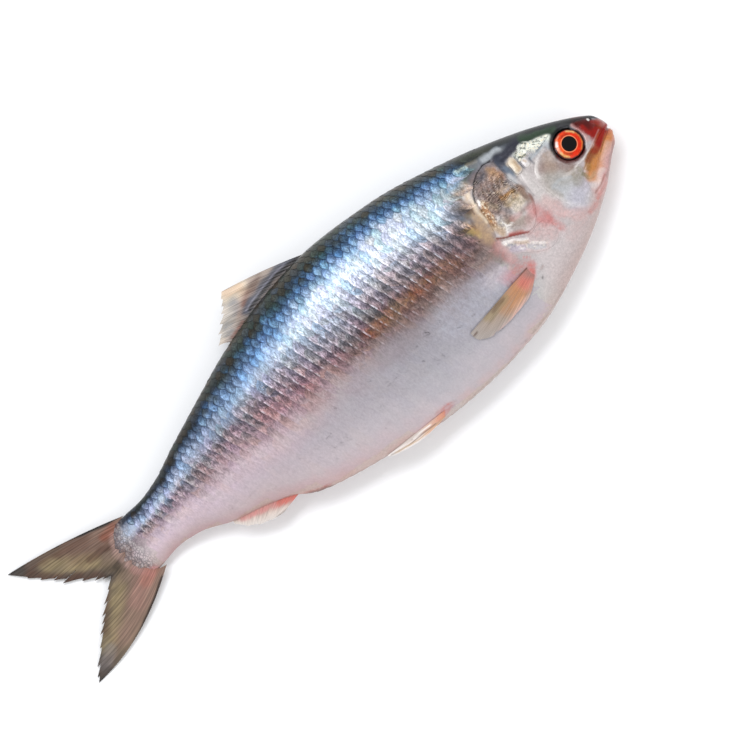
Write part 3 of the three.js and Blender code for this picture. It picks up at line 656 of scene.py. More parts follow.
# ---------------------------------------------------------------- bones of the head
# Thin plates and bars of bone under the skin of each side of the head: the gill cover and the lobe
# under it, the cheek, the bar between them, and the two jaws. Their rear edges stand free.
SIDES = ((1, "right"), (-1, "left"))
PLATE_LOW = -0.6                      # how deep a plate's underside lies in the skin
PLATE_DISH = 0.3                      # how much deeper the middle of the underside lies
PLATE_RIM = 0.06                      # the share of a plate that rounds off at its rim
PLATES = {                            # height of the rim, of the dome, and the outline
    "gill_cover": (0.75, 0.5, [
        (140.3, 20.5), (137, 23), (132.5, 23), (127.5, 21), (122.5, 17.2), (119.3, 11.8), (118, 5), (117, -2),
        (115.6, -8), (115, -11.2), (119.5, -14), (124.5, -16.6), (129.6, -19.2), (134.5, -18.8),
        (139.5, -14.5), (142.8, -9), (143.6, -3), (142.4, 3), (141.2, 9), (140.8, 15)]),
    "lower_gill_cover": (0.35, 0.3, [
        (115.2, -13.6), (115.6, -17.5), (118, -22.5), (122.5, -27), (127.8, -31), (133.5, -33.2),
        (139, -32.5), (142.5, -28), (142, -21), (137, -19), (130.5, -20.5), (124.5, -18), (119.5, -15.2)]),
    "cheek": (0.45, 0.35, [
        (152, 1), (154.6, 5), (159, 8), (164, 9), (167.2, 8), (167.6, 3), (168, -2), (169.5, -6.2),
        (172.5, -8.8), (174.5, -11.5), (172.6, -14.5), (170.8, -18), (170.8, -22.5), (168.5, -27),
        (163.5, -29), (158.2, -26.8), (154.6, -21.5), (152.6, -15), (151.4, -7.5)]),
    "temple": (0.35, 0.3, [
        (150.2, 12), (150.4, 16.6), (154, 18.6), (158.3, 19.6), (162.5, 16.8), (167.5, 15), (172, 12.6),
        (168.5, 11.2), (163, 10.6), (157, 9.4)]),
    "throat": (0.15, 0.15, [
        (139, -34), (148, -30), (157, -31.5), (166, -34), (160, -38.5), (150, -42.5), (140, -43),
        (134, -37)]),
    "cheek_knob": (0.9, 0.35, [
        (145, 8.3), (145, 12), (145.2, 15), (146.8, 16.9), (149, 16.5), (149.9, 14), (149.9, 10),
        (149.2, 7.6), (147, 7)]),
    "temple_knob": (0.6, 0.3, [(151.3, 7.5), (151.2, 11), (153, 12), (155.2, 11.2), (155, 7.8), (153, 6.9)]),
    "snout_shield": (0.3, 0.35, [
        (187, 8.4), (192, 6.6), (196.6, 3.4), (198.6, -0.4), (197.4, -3), (192.5, -4.2), (188.5, -4.4),
        (187, -1), (187.4, 3.5)]),
}
BARS = {                              # height, and the line with its half width at each point
    "cheek_bar": (0.6, [
        (147.4, 8, 1.6), (147.4, 2, 2.5), (147.4, -4, 2.8), (148, -11, 3.4), (149.8, -17.5, 4),
        (153.3, -23.5, 4.2), (159, -28, 3.6), (166, -30.2, 2.6), (172, -29, 1.4)]),
    "eye_ridge": (0.45, [
        (170.8, -9.6, 0.3), (174, -9.4, 0.75), (179, -8.9, 0.8), (184, -7.3, 0.75), (189, -5.2, 0.7),
        (194, -2.9, 0.5), (196.5, -1.6, 0.2)]),
    "lower_jaw": (0.7, [
        (200.1, -7.6, 0.6), (197.4, -9.2, 1.7), (192.4, -12.6, 2.4), (187, -17, 2.9), (181.5, -21.6, 2.9),
        (176, -26, 2.2), (171.5, -29, 1)]),
    "upper_jaw": (1.0, [
        (197.6, -4.6, 0.7), (194, -6.2, 1.3), (189.5, -8.6, 1.9), (185, -11, 2.3), (181, -13.3, 2.9),
        (177.3, -15.8, 3.6), (174.3, -17.8, 3.4), (172.3, -19, 1.8)]),
    "nostril": (0.5, [(193.1, 3.0, 0.2), (193.7, 4.2, 0.6), (194, 5.4, 0.2)]),
}


def smooth_line(points, closed=False):
    """A smooth line through the points, read at 0 to 1 along it."""
    knots = np.array(points, float)
    count = len(knots) if closed else len(knots) - 1

    def at(t):
        place = np.clip(t, 0, 1) * count
        k = np.minimum(place.astype(int), count - 1)
        f = (place - k)[:, None]
        near = [(k + step) % count if closed else np.clip(k + step, 0, count) for step in (-1, 0, 1, 2)]
        p0, p1, p2, p3 = (knots[n] for n in near)
        return p1 + 0.5 * f * (p2 - p0 + f * (2 * p0 - 5 * p1 + 4 * p2 - p3 + f * (3 * (p1 - p2) + p3 - p0)))

    return at


def bone_marks(name, x, y):
    """Fine relief of a plate: growth rings on the gill cover and cheek, and ridges on the temple."""
    if name == "temple":
        return 0.22 * ripple(x, y, 2.2)
    if name == "gill_cover":
        return 0.1 * np.sin(np.hypot(x - 139, y - 8) * 2.2) + 0.14 * ripple(x, y, 3)
    if name == "cheek":
        return 0.07 * np.sin(np.hypot(x - 171, y + 2) * 1.9)
    return 0.05 * ripple(x, y, 4)


def near_line(x, y, width, line):
    """How close (x, y) is to a line, from 1 on it to 0 at the width."""
    return stroke_layer(x, y, [("black", 1.0, width, *line)])[:, 3]


def disc_place(a, b, c):
    """A ball's points read as a flat disc with two sides: angle, share of the radius, and which side."""
    polar = 2 * np.arccos(np.clip(c, -1, 1)) / math.pi
    return np.arctan2(b, a), np.where(polar <= 1, polar, 2 - polar), polar <= 1


def plate_place(name, side):
    """A plate laid on the flank: a closed disc drawn out to its outline, with a round rim."""
    rim, dome, outline = PLATES[name]
    border = smooth_line(outline, closed=True)
    middle = border(np.linspace(0, 1, 200)).mean(axis=0)

    def place(a, b, c):
        turn, out, upper = disc_place(a, b, c)
        share = 1 - (1 - out)**1.6
        x, y = (middle + (border(turn / (2 * math.pi) % 1) - middle) * share[:, None]).T
        round_off = np.sqrt(1 - np.clip((share - 1 + PLATE_RIM) / PLATE_RIM, 0, 1)**2)
        top = rim + dome * (1 - share**2) + bone_marks(name, x, y)
        lift = PLATE_LOW + np.where(upper, (top - PLATE_LOW) * round_off, -PLATE_DISH * (1 - share))
        values = {**skin_values(x, y), "head": 1.0}
        if name == "gill_cover":
            values["worm"] = near_line(x, y, 11, [(125, 15), (128, 8), (136, 7)])
            values["mottle"] = 0.14 + 0.4 * near_line(x, y, 13, [(125, 13), (135, 11), (134, 3), (122, 2)])
            values["gilt"] = 0.55 * near_line(x, y, 3.2, [(120.8, 9), (119.4, 0), (120, -6), (124, -10)])
        if name == "lower_gill_cover":
            values["mottle"] = 0.16
            values["gilt"] = 0.35 * near_line(x, y, 3, [(117, -17), (122, -21), (132, -29)])
        if name == "cheek":
            values["mottle"] = 0.14
        if name == "temple":
            values["gilt"] = 0.9 * near_line(x, y, 4, [(152, 14.6), (158, 15), (163, 12.8), (169, 12)])
            values["worm"] = 0.5
        return on_flank(x, y, side, lift), values

    return place


def bar_place(name, side):
    """A long rounded bone laid on the flank, tapering to both ends."""
    height, line = BARS[name]
    course = smooth_line(line)

    def place(a, b, c):
        s = np.arccos(np.clip(c, -1, 1)) / math.pi
        turn = np.arctan2(b, a)
        ends = np.sqrt(np.maximum(1 - np.abs(2 * s - 1)**6, 0))
        x, y, half = course(s).T
        ahead = course(np.minimum(s + 0.01, 1)) - course(np.maximum(s - 0.01, 0))
        reach = np.maximum(np.hypot(ahead[:, 0], ahead[:, 1]), 1e-6)
        x = x - ahead[:, 1] / reach * half * ends * np.cos(turn)
        y = y + ahead[:, 0] / reach * half * ends * np.cos(turn)
        up = np.sin(turn)
        lift = np.where(up > 0, (height - PLATE_LOW) * np.abs(up)**0.8, PLATE_DISH * up) * ends + PLATE_LOW
        return on_flank(x, y, side, lift), {**skin_values(x, y), "head": 1.0}

    return place


for side, side_name in SIDES:
    for name in PLATES:
        finish_piece(ball(96, 48), f"{name}_{side_name}", plate_place(name, side), fish_skin)
    for name in BARS:
        finish_piece(ball(32, 96), f"{name}_{side_name}", bar_place(name, side), fish_skin)

# ---------------------------------------------------------------- eyes
# A round eye set flush in a dark rim: a black pupil, a thin pale ring, and an orange-red iris under
# a clear wet dome.
PUPIL_RADIUS = 4.05
EYE_DOME, EYE_SEAT, EYE_UNDERSIDE = 2.1, -1.0, -2.4
IRIS_STROKES = [
    ("ember", 0.9, 2.2, *eye_arc(5.6, -120, 30)), ("flame", 0.9, 2.0, *eye_arc(5.9, 130, 215)),
    ("blood", 0.55, 1.1, *eye_arc(5.0, 60, 100)), ("straw", 0.7, 1.3, *eye_arc(6.9, 28, 58)),
    ("flesh", 0.8, 1.3, *eye_arc(6.7, 150, 190)), ("straw", 0.7, 1.1, *eye_arc(7, 190, 228)),
    # The chalk arc at the upper left of the iris is a painted highlight.
    ("chalk", 0.85, 1.2, *eye_arc(6.6, 134, 148)), ("flesh", 0.5, 0.8, *eye_arc(6.8, 100, 130)),
    ("amber", 0.7, 0.8, *eye_arc(7.2, -60, 20)), ("rust", 0.6, 0.9, *eye_arc(5.4, 200, 240)),
    ("maroon", 0.9, 0.7, *eye_arc(7.9, -180, 180)), ("black", 1.0, 0.8, *eye_arc(8.5, -180, 180))]


def eye_place(side):
    """An eye set in its socket: a low dome over a flat underside."""
    def place(a, b, c):
        turn, share, upper = disc_place(a, b, c)
        radius = EYE_RADIUS * share
        x, y = EYE_X + radius * np.cos(turn), EYE_Y + radius * np.sin(turn)
        top = EYE_SEAT + EYE_DOME * np.sqrt(np.maximum(1 - 0.97 * share**2, 0))
        values = {"from_middle": share, "stain": stroke_layer(x, y, IRIS_STROKES)}
        return on_flank(x, y, side, np.where(upper, top, EYE_UNDERSIDE)), values

    return place


def wet_eye():
    """A fresh fish eye: clear cornea, so the sharpest gloss on the fish, over a flecked iris."""
    material, tree, shader = new_material("wet_eye", {
        "Roughness": 0.25, "Specular IOR Level": 0.1, "Coat Weight": 0.2, "Coat Roughness": 0.03})
    from_middle = add(tree, "Attribute", out="Fac", attribute_name="from_middle")
    stain, cover = (add(tree, "Attribute", out=key, attribute_name="stain") for key in ("Color", "Alpha"))
    place = add(tree, "TexCoord", out="Object")
    fleck = add(tree, "TexNoise", {"Vector": place, "Scale": 1 / (1.2 * MM), "Detail": 4.0})
    colour = add(tree, "MixRGB", {0: cover, 1: linear("#d63d12"), 2: stain})
    colour = vary(tree, colour, fleck, (0.3, 0.7), (-0.25, 0.2))
    pupil = PUPIL_RADIUS / EYE_RADIUS
    ring = add(tree, "ValToRGB", {0: from_middle}, (
        (0.0, 0.0), (pupil, 0.0), (pupil + 0.02, 0.6), (pupil + 0.04, 0.6), (pupil + 0.08, 0.0)))
    colour = add(tree, "MixRGB", {0: ring, 1: colour, 2: linear("#e8a878")})
    colour = lay_over(tree, colour, "#030203", from_middle, (pupil + 0.015, pupil - 0.01), 1.0, 1.0)
    tree.links.new(colour, shader.inputs["Base Color"])
    return material


eye_gloss = wet_eye()
for side, side_name in SIDES:
    finish_piece(ball(96, 64), f"eyeball_{side_name}", eye_place(side), eye_gloss, f"eye_{side_name}")

# ---------------------------------------------------------------- scales
# Tall thin scales of clear horn silvered underneath, set like roof tiles in rows: each one's rear edge
# stands free and leans, and its front is tucked into the skin under the one before it.
SCALE_FRONT_X, SCALE_REAR_X = 134, -133
SCALE_ROWS = range(-9, 14)
scale_spacing = curve([(-150, 2.6), (-128, 3.5), (-90, 4.3), (0, 4.75), (140, 4.9)])
row_size = curve([(-150, 0.5), (-100, 0.66), (-40, 0.9), (10, 1), (140, 1)])
row_arc = curve([(-9, -72), (0, 0), (2, 16), (3, 23.4), (4, 29.8), (5, 35.2), (6, 40), (9, 53), (14, 74)])
scales_start = curve([(-70, 108), (-40, 104), (-18, 99), (0, 99), (8, 101), (13, 106), (20, 112), (25, 118),
                      (30, 126), (45, 134)])
SCALE_OVERLAP = 1.9                   # length of a scale, in steps of its row
SCALE_TALL = 1.75                     # height of a scale, in steps from row to row
SCALE_LEAN = 0.28                     # how far its rear edge leans to the head, for each step down
SCALE_RECESS, BACK_RECESS = 0.19, 0.45  # how far its corners fall back on the flank and on the back
SCALE_SEAT = 0.08                     # the least that the coat lies over the skin
SCALE_LAST_BAND = 0.965               # past it lies the keel
KEEL_MARGIN, BACK_MARGIN = 2, 0.5     # how far from the flank's two edges no scale is set
COAT_FADE = ([0, 0.08, 0.5, 0.6, 0.68, 0.8], [0.6, 1, 1, 0.6, 0.2, 0.12])   # how proud it stands, by band
OWN_TONE = ([0, 0.1, 0.5, 0.62, 0.72], [0.5, 1, 1, 0.4, 0.08])   # how much scales differ, by band
SCALE_RISE, SCALE_THICK = 0.34, 0.18
SCALE_ACROSS, SCALE_LONG = 7, 2       # faces of a scale across and along the fish
SCALE_SEED = 7


def arc_table(x):
    """Heights on the right flank's skin at x, and how far along the skin each is from the widest line."""
    turn = np.linspace(0, math.pi, 400)
    y, out = around_body(np.array([float(x)]), turn)
    run = np.concatenate([[0], np.cumsum(np.hypot(np.diff(y), np.diff(out)))])
    run -= np.interp(0, -np.cos(turn), run)
    return -run[::-1], y[::-1]


TABLE_START = -145
arc_tables = [arc_table(x) for x in range(TABLE_START, SNOUT_X)]


def flank_y(x, arc):
    """The height of the point that lies arc above the widest line, measured along the skin."""
    low = np.clip(np.floor(x).astype(int), TABLE_START, SNOUT_X - 2)
    y0 = np.array([np.interp(a, *arc_tables[k - TABLE_START]) for a, k in zip(arc, low)])
    y1 = np.array([np.interp(a, *arc_tables[k + 1 - TABLE_START]) for a, k in zip(arc, low)])
    return y0 + (y1 - y0) * (x - low)


def scale_seats(rng):
    """The rear edge's place of every scale of one flank, with its size and small unevenness."""
    for row in SCALE_ROWS:
        x = SCALE_FRONT_X + 10 - 0.5 * float(scale_spacing(SCALE_FRONT_X)) * (row % 2)
        while x > SCALE_REAR_X:
            size = float(row_size(x))
            arc = float(row_arc(row)) * size
            height = float(row_arc(row + 0.5) - row_arc(row - 0.5)) * size * SCALE_TALL
            low, high = arc_tables[int(x) - TABLE_START][0][[0, -1]]
            y = flank_y(np.array([x]), np.array([arc]))
            on_trunk = x < SCALE_FRONT_X and x + 1 < scales_start(y[0])
            above_keel = flank_band(np.array([x]), y)[0] < SCALE_LAST_BAND
            if on_trunk and above_keel and low + KEEL_MARGIN < arc < high - BACK_MARGIN:
                yield {"x": x + rng.uniform(-0.3, 0.3), "arc": arc + rng.uniform(-0.4, 0.4),
                       "step": float(scale_spacing(x)), "height": height * rng.uniform(0.94, 1.08),
                       "lift": rng.uniform(-0.03, 0.04), "tilt": rng.uniform(-0.05, 0.05),
                       "tone": rng.random(), "tint": rng.random()}
            x -= float(scale_spacing(np.clip(x, -150, 140)))


def thicken(sheet):
    """Makes a flat sheet a closed slab, one high."""
    shell = bmesh.ops.extrude_face_region(sheet, geom=sheet.faces[:], use_keep_orig=True)
    raised = [v for v in shell["geom"] if isinstance(v, bmesh.types.BMVert)]
    bmesh.ops.translate(sheet, verts=raised, vec=(0, 0, 1))


def copies(start, count):
    """So many copies of a start shape in one mesh, and how many points each has."""
    data = bpy.data.meshes.new("start")
    start.to_mesh(data)
    start.free()
    joined = bmesh.new()
    for _ in range(count):
        joined.from_mesh(data)
    size = len(data.vertices)
    bpy.data.meshes.remove(data)
    return joined, size


def scale_coat(side, name, material, seed):
    """All scales of one flank as one piece."""
    flake = bmesh.new()
    bmesh.ops.create_grid(flake, x_segments=SCALE_LONG, y_segments=SCALE_ACROSS, size=0.5)
    thicken(flake)
    seats = list(scale_seats(random.Random(seed)))
    coat, per_flake = copies(flake, len(seats))

    def place(a, b, c):
        each = {key: np.repeat([seat[key] for seat in seats], per_flake) for key in seats[0]}
        across = 2 * b
        ahead = (0.5 - a) * SCALE_OVERLAP
        step = across * each["height"] / 2
        arc = each["arc"] + step
        band = flank_band(each["x"], flank_y(each["x"], arc))
        on_back = np.interp(band, [0.16, 0.3], [1, 0])
        corner = SCALE_RECESS * across**4 * (1 - on_back) + BACK_RECESS * across**2 * on_back
        recess = each["height"] * corner
        forward = recess + ahead * each["step"] * (1 - recess / (3 * each["height"]))
        x = each["x"] + forward - SCALE_LEAN * (1 - 0.7 * on_back) * step
        y = flank_y(np.clip(x, TABLE_START, SNOUT_X - 1), arc)
        # The coat thins out over the belly, and to its ends at the tail and behind the gill.
        fade = np.interp(flank_band(x, y), *COAT_FADE)
        fade = fade * np.clip((x + 139) / 22, 0.25, 1) * np.clip((scales_start(y) - x) / 16, 0.15, 1)
        drop = np.interp(fade, [0.12, 0.5], [0.5, 0.9])
        lift = SCALE_SEAT + (SCALE_RISE * (1 - drop * forward / each["step"]) + each["lift"]
                             + each["tilt"] * across + (c - 1) * SCALE_THICK) * fade
        values = skin_values(x, y)
        own = np.interp(values["band"], *OWN_TONE)
        values["band"] = np.clip(values["band"] + (each["tone"] - 0.5) * 0.03 * own, 0, 1)
        values["head"] = 0
        return on_flank(x, y, side, lift), {**values, "ahead": ahead, "across": across,
                                            "tone": 0.5 + (each["tone"] - 0.5) * own,
                                            "tint": 0.5 + (each["tint"] - 0.5) * own,
                                            "grain_seed": each["tone"]}

    finish_piece(coat, name, place, material)


# How strong each mark of a scale is, from the back (0) to the belly (1): streaks, specks, the dark
# rim, the painted shadow and the painted edge highlight.
MARK_DEPTHS = {
    "streak": (
        (0.0, 0.25), (0.1, 0.35), (0.17, 0.35), (0.22, 0.28), (0.27, 0.38), (0.34, 0.5), (0.44, 0.5),
        (0.55, 0.25), (0.66, 0.08), (1.0, 0.02)),
    "shadow": (
        (0.0, 0.3), (0.08, 0.45), (0.13, 0.7), (0.17, 0.5), (0.21, 0.35), (0.27, 0.45), (0.33, 0.65),
        (0.45, 0.7), (0.56, 0.3), (0.64, 0.05), (1.0, 0.0)),
    "rim": (
        (0.0, 0.45), (0.07, 0.65), (0.1, 0.85), (0.16, 0.85), (0.2, 0.45), (0.25, 0.15), (0.3, 0.0)),
    "edge": (
        (0.0, 0.0), (0.19, 0.0), (0.23, 0.3), (0.29, 0.7), (0.35, 0.85), (0.44, 0.8), (0.52, 0.5),
        (0.58, 0.22), (0.68, 0.04), (1.0, 0.0)),
    "speck": (
        (0.0, 0.5), (0.1, 0.55), (0.16, 0.5), (0.2, 0.4), (0.3, 0.55), (0.45, 0.65), (0.56, 0.45),
        (0.64, 0.2), (0.72, 0.09), (1.0, 0.05)),
}


def wet_scale():
    """Wet herring scale: clear horn over mirror-like guanine, dark where melanin shows through it, and
    with painted shade where the next scale's edge lies over it. Its free edge is a pale line of
    painted highlight."""
    material, tree, shader = new_material("wet_silver_scale", {
        "Roughness": 0.34, "Specular IOR Level": 0.2, "Coat Weight": 0.16, "Coat Roughness": 0.2})
    # Near 0.2 the blue-white colours are partly silver, partly a painted reflection of the back lamp.
    inner, value, place = pigment_and_reflection_colour(tree, (
        (0.0, "#403f3e"), (0.06, "#3f4c54"), (0.09, "#446482"), (0.13, "#6890bc"), (0.175, "#a4c4df"),
        (0.217, "#ccd7e3"), (0.26, "#bfcad5"), (0.312, "#a3aab5"), (0.39, "#aea6ad"), (0.436, "#85787c"),
        (0.49, "#7f6464"), (0.543, "#765b54"), (0.6, "#84736f"), (0.66, "#8a8180"), (0.707, "#918b89"),
        (0.77, "#9b9a99"), (0.85, "#a5a4a2"), (0.905, "#aca9a6"), (0.96, "#b9b2ae"), (1.0, "#c4b0a8")), (
        (0.0, "#3f3f3f"), (0.06, "#3a4550"), (0.078, "#3e5b78"), (0.136, "#698fb7"), (0.196, "#708eb0"),
        (0.267, "#787f91"), (0.35, "#91838a"), (0.435, "#9a7b83"), (0.51, "#a4858b"), (0.58, "#aa8f93"),
        (0.63, "#b59f9f"), (0.668, "#baaaa8"), (0.71, "#b5aaa8"), (0.768, "#b1aba9"), (0.885, "#beb5b0"),
        (0.943, "#c1aea9"), (1.0, "#c4a89f")))
    ahead, across, tone, tint, seed = (add(tree, "Attribute", out="Fac", attribute_name=key)
                                       for key in ("ahead", "across", "tone", "tint", "grain_seed"))
    depth = {mark: add(tree, "ValToRGB", {0: value["band"]}, stops) for mark, stops in MARK_DEPTHS.items()}
    # Guanine crystals split light into pale tints, which differ a little from scale to scale.
    pearly = add(tree, "ValToRGB", {0: tint}, (
        (0.0, "#dceffb"), (0.3, "#fbfbfb"), (0.5, "#f4effb"), (0.75, "#fff5ee"), (1.0, "#e6f8f4")))
    # On the back the pigment is brown on one scale, green or blue on the next.
    earthy = add(tree, "ValToRGB", {0: tint}, (
        (0.0, "#ffc890"), (0.3, "#f2d2a8"), (0.45, "#cfe6c0"), (0.7, "#f4f4f4"), (1.0, "#aacdf0")))
    on_back = add(tree, "MapRange", {"Value": value["band"], "From Min": 0.13, "From Max": 0.06})
    pearly = add(tree, "MixRGB", {0: on_back, 1: pearly, 2: earthy})
    colour = add(tree, "VectorMath", {0: inner, 1: pearly}, operation="MULTIPLY")
    # Pigment lies in fine streaks across each scale, about half a millimetre wide.
    streak_place = add(tree, "CombineXYZ", {0: ahead, 1: across, 2: seed})
    streak_place = add(tree, "VectorMath", {0: streak_place, 1: (9.0, 4.0, 90.0)}, operation="MULTIPLY")
    streak = add(tree, "TexNoise", {"Vector": streak_place, "Scale": 1.0, "Detail": 3.0})
    colour = vary(tree, colour, streak, (0.35, 0.65), (-1.0, 0.8), depth["streak"])
    # Painted shadow: the dark stripe beside the edges of the scales over it, one in its own row and
    # two half a step back.
    aside = add(tree, "Math", {0: across}, operation="ABSOLUTE")
    nearer = add(tree, "MapRange", {"Value": aside, "From Max": 0.6, "To Max": 0.5})
    covered = add(tree, "Math", {0: ahead, 1: nearer}, operation="ADD")
    shadow = add(tree, "MapRange", {"Value": covered, "From Min": 0.56, "From Max": 0.96})
    bare = add(tree, "MapRange", {"Value": ahead, "From Min": 1.35, "From Max": 1.1})
    for share in (depth["shadow"], bare):
        shadow = add(tree, "Math", {0: shadow, 1: share}, operation="MULTIPLY")
    # A dark rim round the free edge of the blue scales.
    rim = add(tree, "MapRange", {"Value": ahead, "From Min": 0.22, "From Max": 0.08})
    rim = add(tree, "Math", {0: rim, 1: depth["rim"]}, operation="MULTIPLY")
    shadow = add(tree, "Math", {0: shadow, 1: rim}, operation="MAXIMUM")
    dark = add(tree, "VectorMath", {0: colour, 1: (0.14, 0.17, 0.24)}, operation="MULTIPLY")
    colour = add(tree, "MixRGB", {0: shadow, 1: colour, 2: dark})
    # Painted highlight: the pale line along the free edge, where it catches light, broken where the
    # edge is worn.
    edge = add(tree, "MapRange", {"Value": ahead, "From Min": 0.26, "From Max": 0.04})
    worn = add(tree, "TexNoise", {"Vector": place, "Scale": 1 / (2.2 * MM), "Detail": 3.0})
    worn = add(tree, "MapRange", {"Value": worn, "From Min": 0.44, "From Max": 0.58})
    middle = add(tree, "MapRange", {"Value": aside, "From Min": 0.6, "From Max": 0.35})
    whole = add(tree, "MapRange", {"Value": tint, "From Min": 0.1, "From Max": 0.6, "To Min": 0.3})
    broad = add(tree, "MapRange", {"Value": value["along"], "From Min": 0.3, "From Max": 0.6, "To Min": 0.5})
    for share in (middle, whole, broad, depth["edge"], worn):
        edge = add(tree, "Math", {0: edge, 1: share}, operation="MULTIPLY")
    colour = add(tree, "MixRGB", {0: edge, 1: colour, 2: linear("#d3d1da")})
    colour = vary(tree, colour, tone, (0.0, 1.0), (-0.16, 0.14))
    upright = add(tree, "VectorMath", {0: place, 1: (1.0, 0.36, 1.0)}, operation="MULTIPLY")
    speck = add(tree, "TexNoise", {"Vector": upright, "Scale": 1 / (0.9 * MM), "Detail": 4.0,
                                   "Roughness": 0.75})
    colour = vary(tree, colour, speck, (0.36, 0.62), (-1.0, 0.7), depth["speck"])
    tree.links.new(colour, shader.inputs["Base Color"])
    # The guanine is a mirror on the flank and thins out over the belly, which is matt.
    mirror = add(tree, "MapRange", {"Value": value["band"], "From Min": 0.35, "From Max": 0.66,
                                    "To Min": 0.24, "To Max": 0.02})
    tree.links.new(mirror, shader.inputs["Metallic"])
    return material


silver_scale = wet_scale()
for side, side_name in SIDES:
    scale_coat(side, f"scales_{side_name}", silver_scale, SCALE_SEED + side)

# ---------------------------------------------------------------- keel scutes
# A row of small hard scutes along the belly, folded over the keel, each with a point to the rear.
# They make the belly's edge faintly saw-toothed.
SCUTE_FRONT_X, SCUTE_REAR_X = 118, -50
SCUTE_STEP, SCUTE_LONG = 6.2, 8.2
SCUTE_HALF, SCUTE_PROUD = 1.7, 0.75
scute_fronts = np.arange(SCUTE_FRONT_X, SCUTE_REAR_X, -SCUTE_STEP)
scutes, per_scute = copies(ball(10, 10), len(scute_fronts))


def scute_place(a, b, c):
    """Every scute folded over the keel, thickest in front and standing proud behind."""
    front = np.repeat(scute_fronts, per_scute)
    along = (1 - c) / 2
    x = front - SCUTE_LONG * along
    half = SCUTE_HALF * np.sqrt(a**2 + b**2) * (1 - 0.75 * along)
    turn = np.arctan2(b, a)
    y = belly_line(x) + 1.5 - (SCUTE_PROUD + 0.8) * along + half * np.cos(turn) * 0.8
    z = middle_height(x) + half * np.sin(turn)
    return np.stack([x, y, z], axis=-1), {**skin_values(x, y), "band": 0.93 + 0.06 * along}


finish_piece(scutes, "keel_scutes", scute_place, fish_skin)

# ---------------------------------------------------------------- tail fin
# A forked fin of about twenty bony rays with thin clear skin between them. Each ray splits again and
# again towards the margin, which is worn into teeth and torn in a few places.
TOOTH_GAP = 0.06                      # the share of a tooth's width that is open on each side of it


def fin_columns(teeth, per_tooth):
    """Across one run of a fin: where each line of its mesh lies, how far it reaches past the smooth
    margin, and how deep the tear behind it goes. A tooth is given by where it ends, how far its far
    corner reaches in millimetres, and how deep the tear beyond it goes as a share of the ray."""
    position, reach, tear, start = [], [], [], 0.0
    for end, far, depth in teeth:
        gap = TOOTH_GAP * (end - start)
        into = np.linspace(0, 1, per_tooth)
        position += list(start + gap + (end - start - 2 * gap) * into)
        reach += list(far * into**1.4)
        tear += [0.0] * (per_tooth - 1) + [depth]
        start = end
    position = np.array(position)
    return (position - position[0]) / (position[-1] - position[0]), np.array(reach), np.array(tear)


def fin_mesh(tears, rows):
    """A closed sheet, one line for each tear, from root to margin, with the torn strips left out."""
    sheet = bmesh.new()
    columns = len(tears) - 1
    bmesh.ops.create_grid(sheet, x_segments=columns, y_segments=rows, size=0.5)
    torn = []
    for face in sheet.faces:
        centre = face.calc_center_median()
        if centre.y + 0.5 > 1 - tears[min(int((centre.x + 0.5) * columns), columns)]:
            torn.append(face)
    bmesh.ops.delete(sheet, geom=torn, context="FACES")
    thicken(sheet)
    return sheet


def fin_skin(name, base, ray_contrast):
    """Wet fin: clear skin over horny rays, with the rays as fine streaks and soft stains of pigment."""
    material, tree, shader = new_material(name, {
        "Roughness": 0.42, "Specular IOR Level": 0.2, "Coat Weight": 0.12, "Coat Roughness": 0.2})
    out, ray = (add(tree, "Attribute", out="Fac", attribute_name=key) for key in ("out", "ray"))
    lengthwise = add(tree, "CombineXYZ", {0: ray, 1: out})
    broad = add(tree, "VectorMath", {0: lengthwise, 1: (1.1, 3.0, 0.0)}, operation="MULTIPLY")
    broad = add(tree, "TexNoise", {"Vector": broad, "Scale": 1.0, "Detail": 3.0})
    colour = with_strokes(tree, add(tree, "ValToRGB", {0: out}, base), broad)
    # Rays and their branches, as streaks that run from the root to the margin.
    for frequency, depth in ((2.1, 0.8 * ray_contrast), (7.0, ray_contrast)):
        spot = add(tree, "VectorMath", {0: lengthwise, 1: (frequency, 2.2, 0.0)}, operation="MULTIPLY")
        streak = add(tree, "TexNoise", {"Vector": spot, "Scale": 1.0, "Detail": 2.0})
        colour = vary(tree, colour, streak, (0.32, 0.68), (-1.0, 1.0), depth)
    branch = add(tree, "Math", {0: ray, 1: 4 * math.pi}, operation="MULTIPLY")
    branch = add(tree, "Math", {0: branch}, operation="COSINE")
    colour = vary(tree, colour, branch, (-1.0, -0.4), (-0.8 * ray_contrast, 0.04))
    tree.links.new(colour, shader.inputs["Base Color"])
    return material


def bezier(a, b, c, t):
    """A point of the curve from a to c that is drawn towards b."""
    a, b, c = (np.array(p)[:, None] if np.ndim(p) == 1 else p for p in (a, b, c))
    return (1 - t)**2 * a + 2 * t * (1 - t) * b + t * t * c


def build_fin(name, node, material, columns, rows, root_at, margin_at, bow_at, height_at, thick, rays,
              strokes):
    """A rayed fin. Its rays run from root_at to margin_at in the flank's plane, and bow by bow_at. Its
    middle lies at height_at, and thick gives its thickness at the root and at the margin."""
    lines, reach, tears = columns
    count = len(lines) - 1

    def place(a, b, c):
        column = np.round((a + 0.5) * count).astype(int)
        s, t = lines[column], b + 0.5
        first, last = root_at(s), margin_at(s)
        direction = last - first
        last = last + direction / np.hypot(*direction) * reach[column]
        x, y = bezier(first, (first + last) / 2 + bow_at(s), last, t)
        ray = s * rays
        # A ray is a ridge on both sides of the skin, and two ridges where it has split at the margin.
        ridge = np.cos(math.pi * ray)**2 * (1 - t) + np.cos(2 * math.pi * ray)**2 * t
        body = thick[0] + (thick[1] - thick[0]) * t**0.7
        z = height_at(x, y, s, t) + (2 * c - 1) * body * (0.38 + 0.12 * ridge)
        points = np.stack([x, y, np.maximum(z, 0)], axis=-1)
        return points, {"out": t, "ray": ray, "stain": stroke_layer(x, y, strokes)}

    finish_piece(fin_mesh(tears, rows), name, place, material, node)


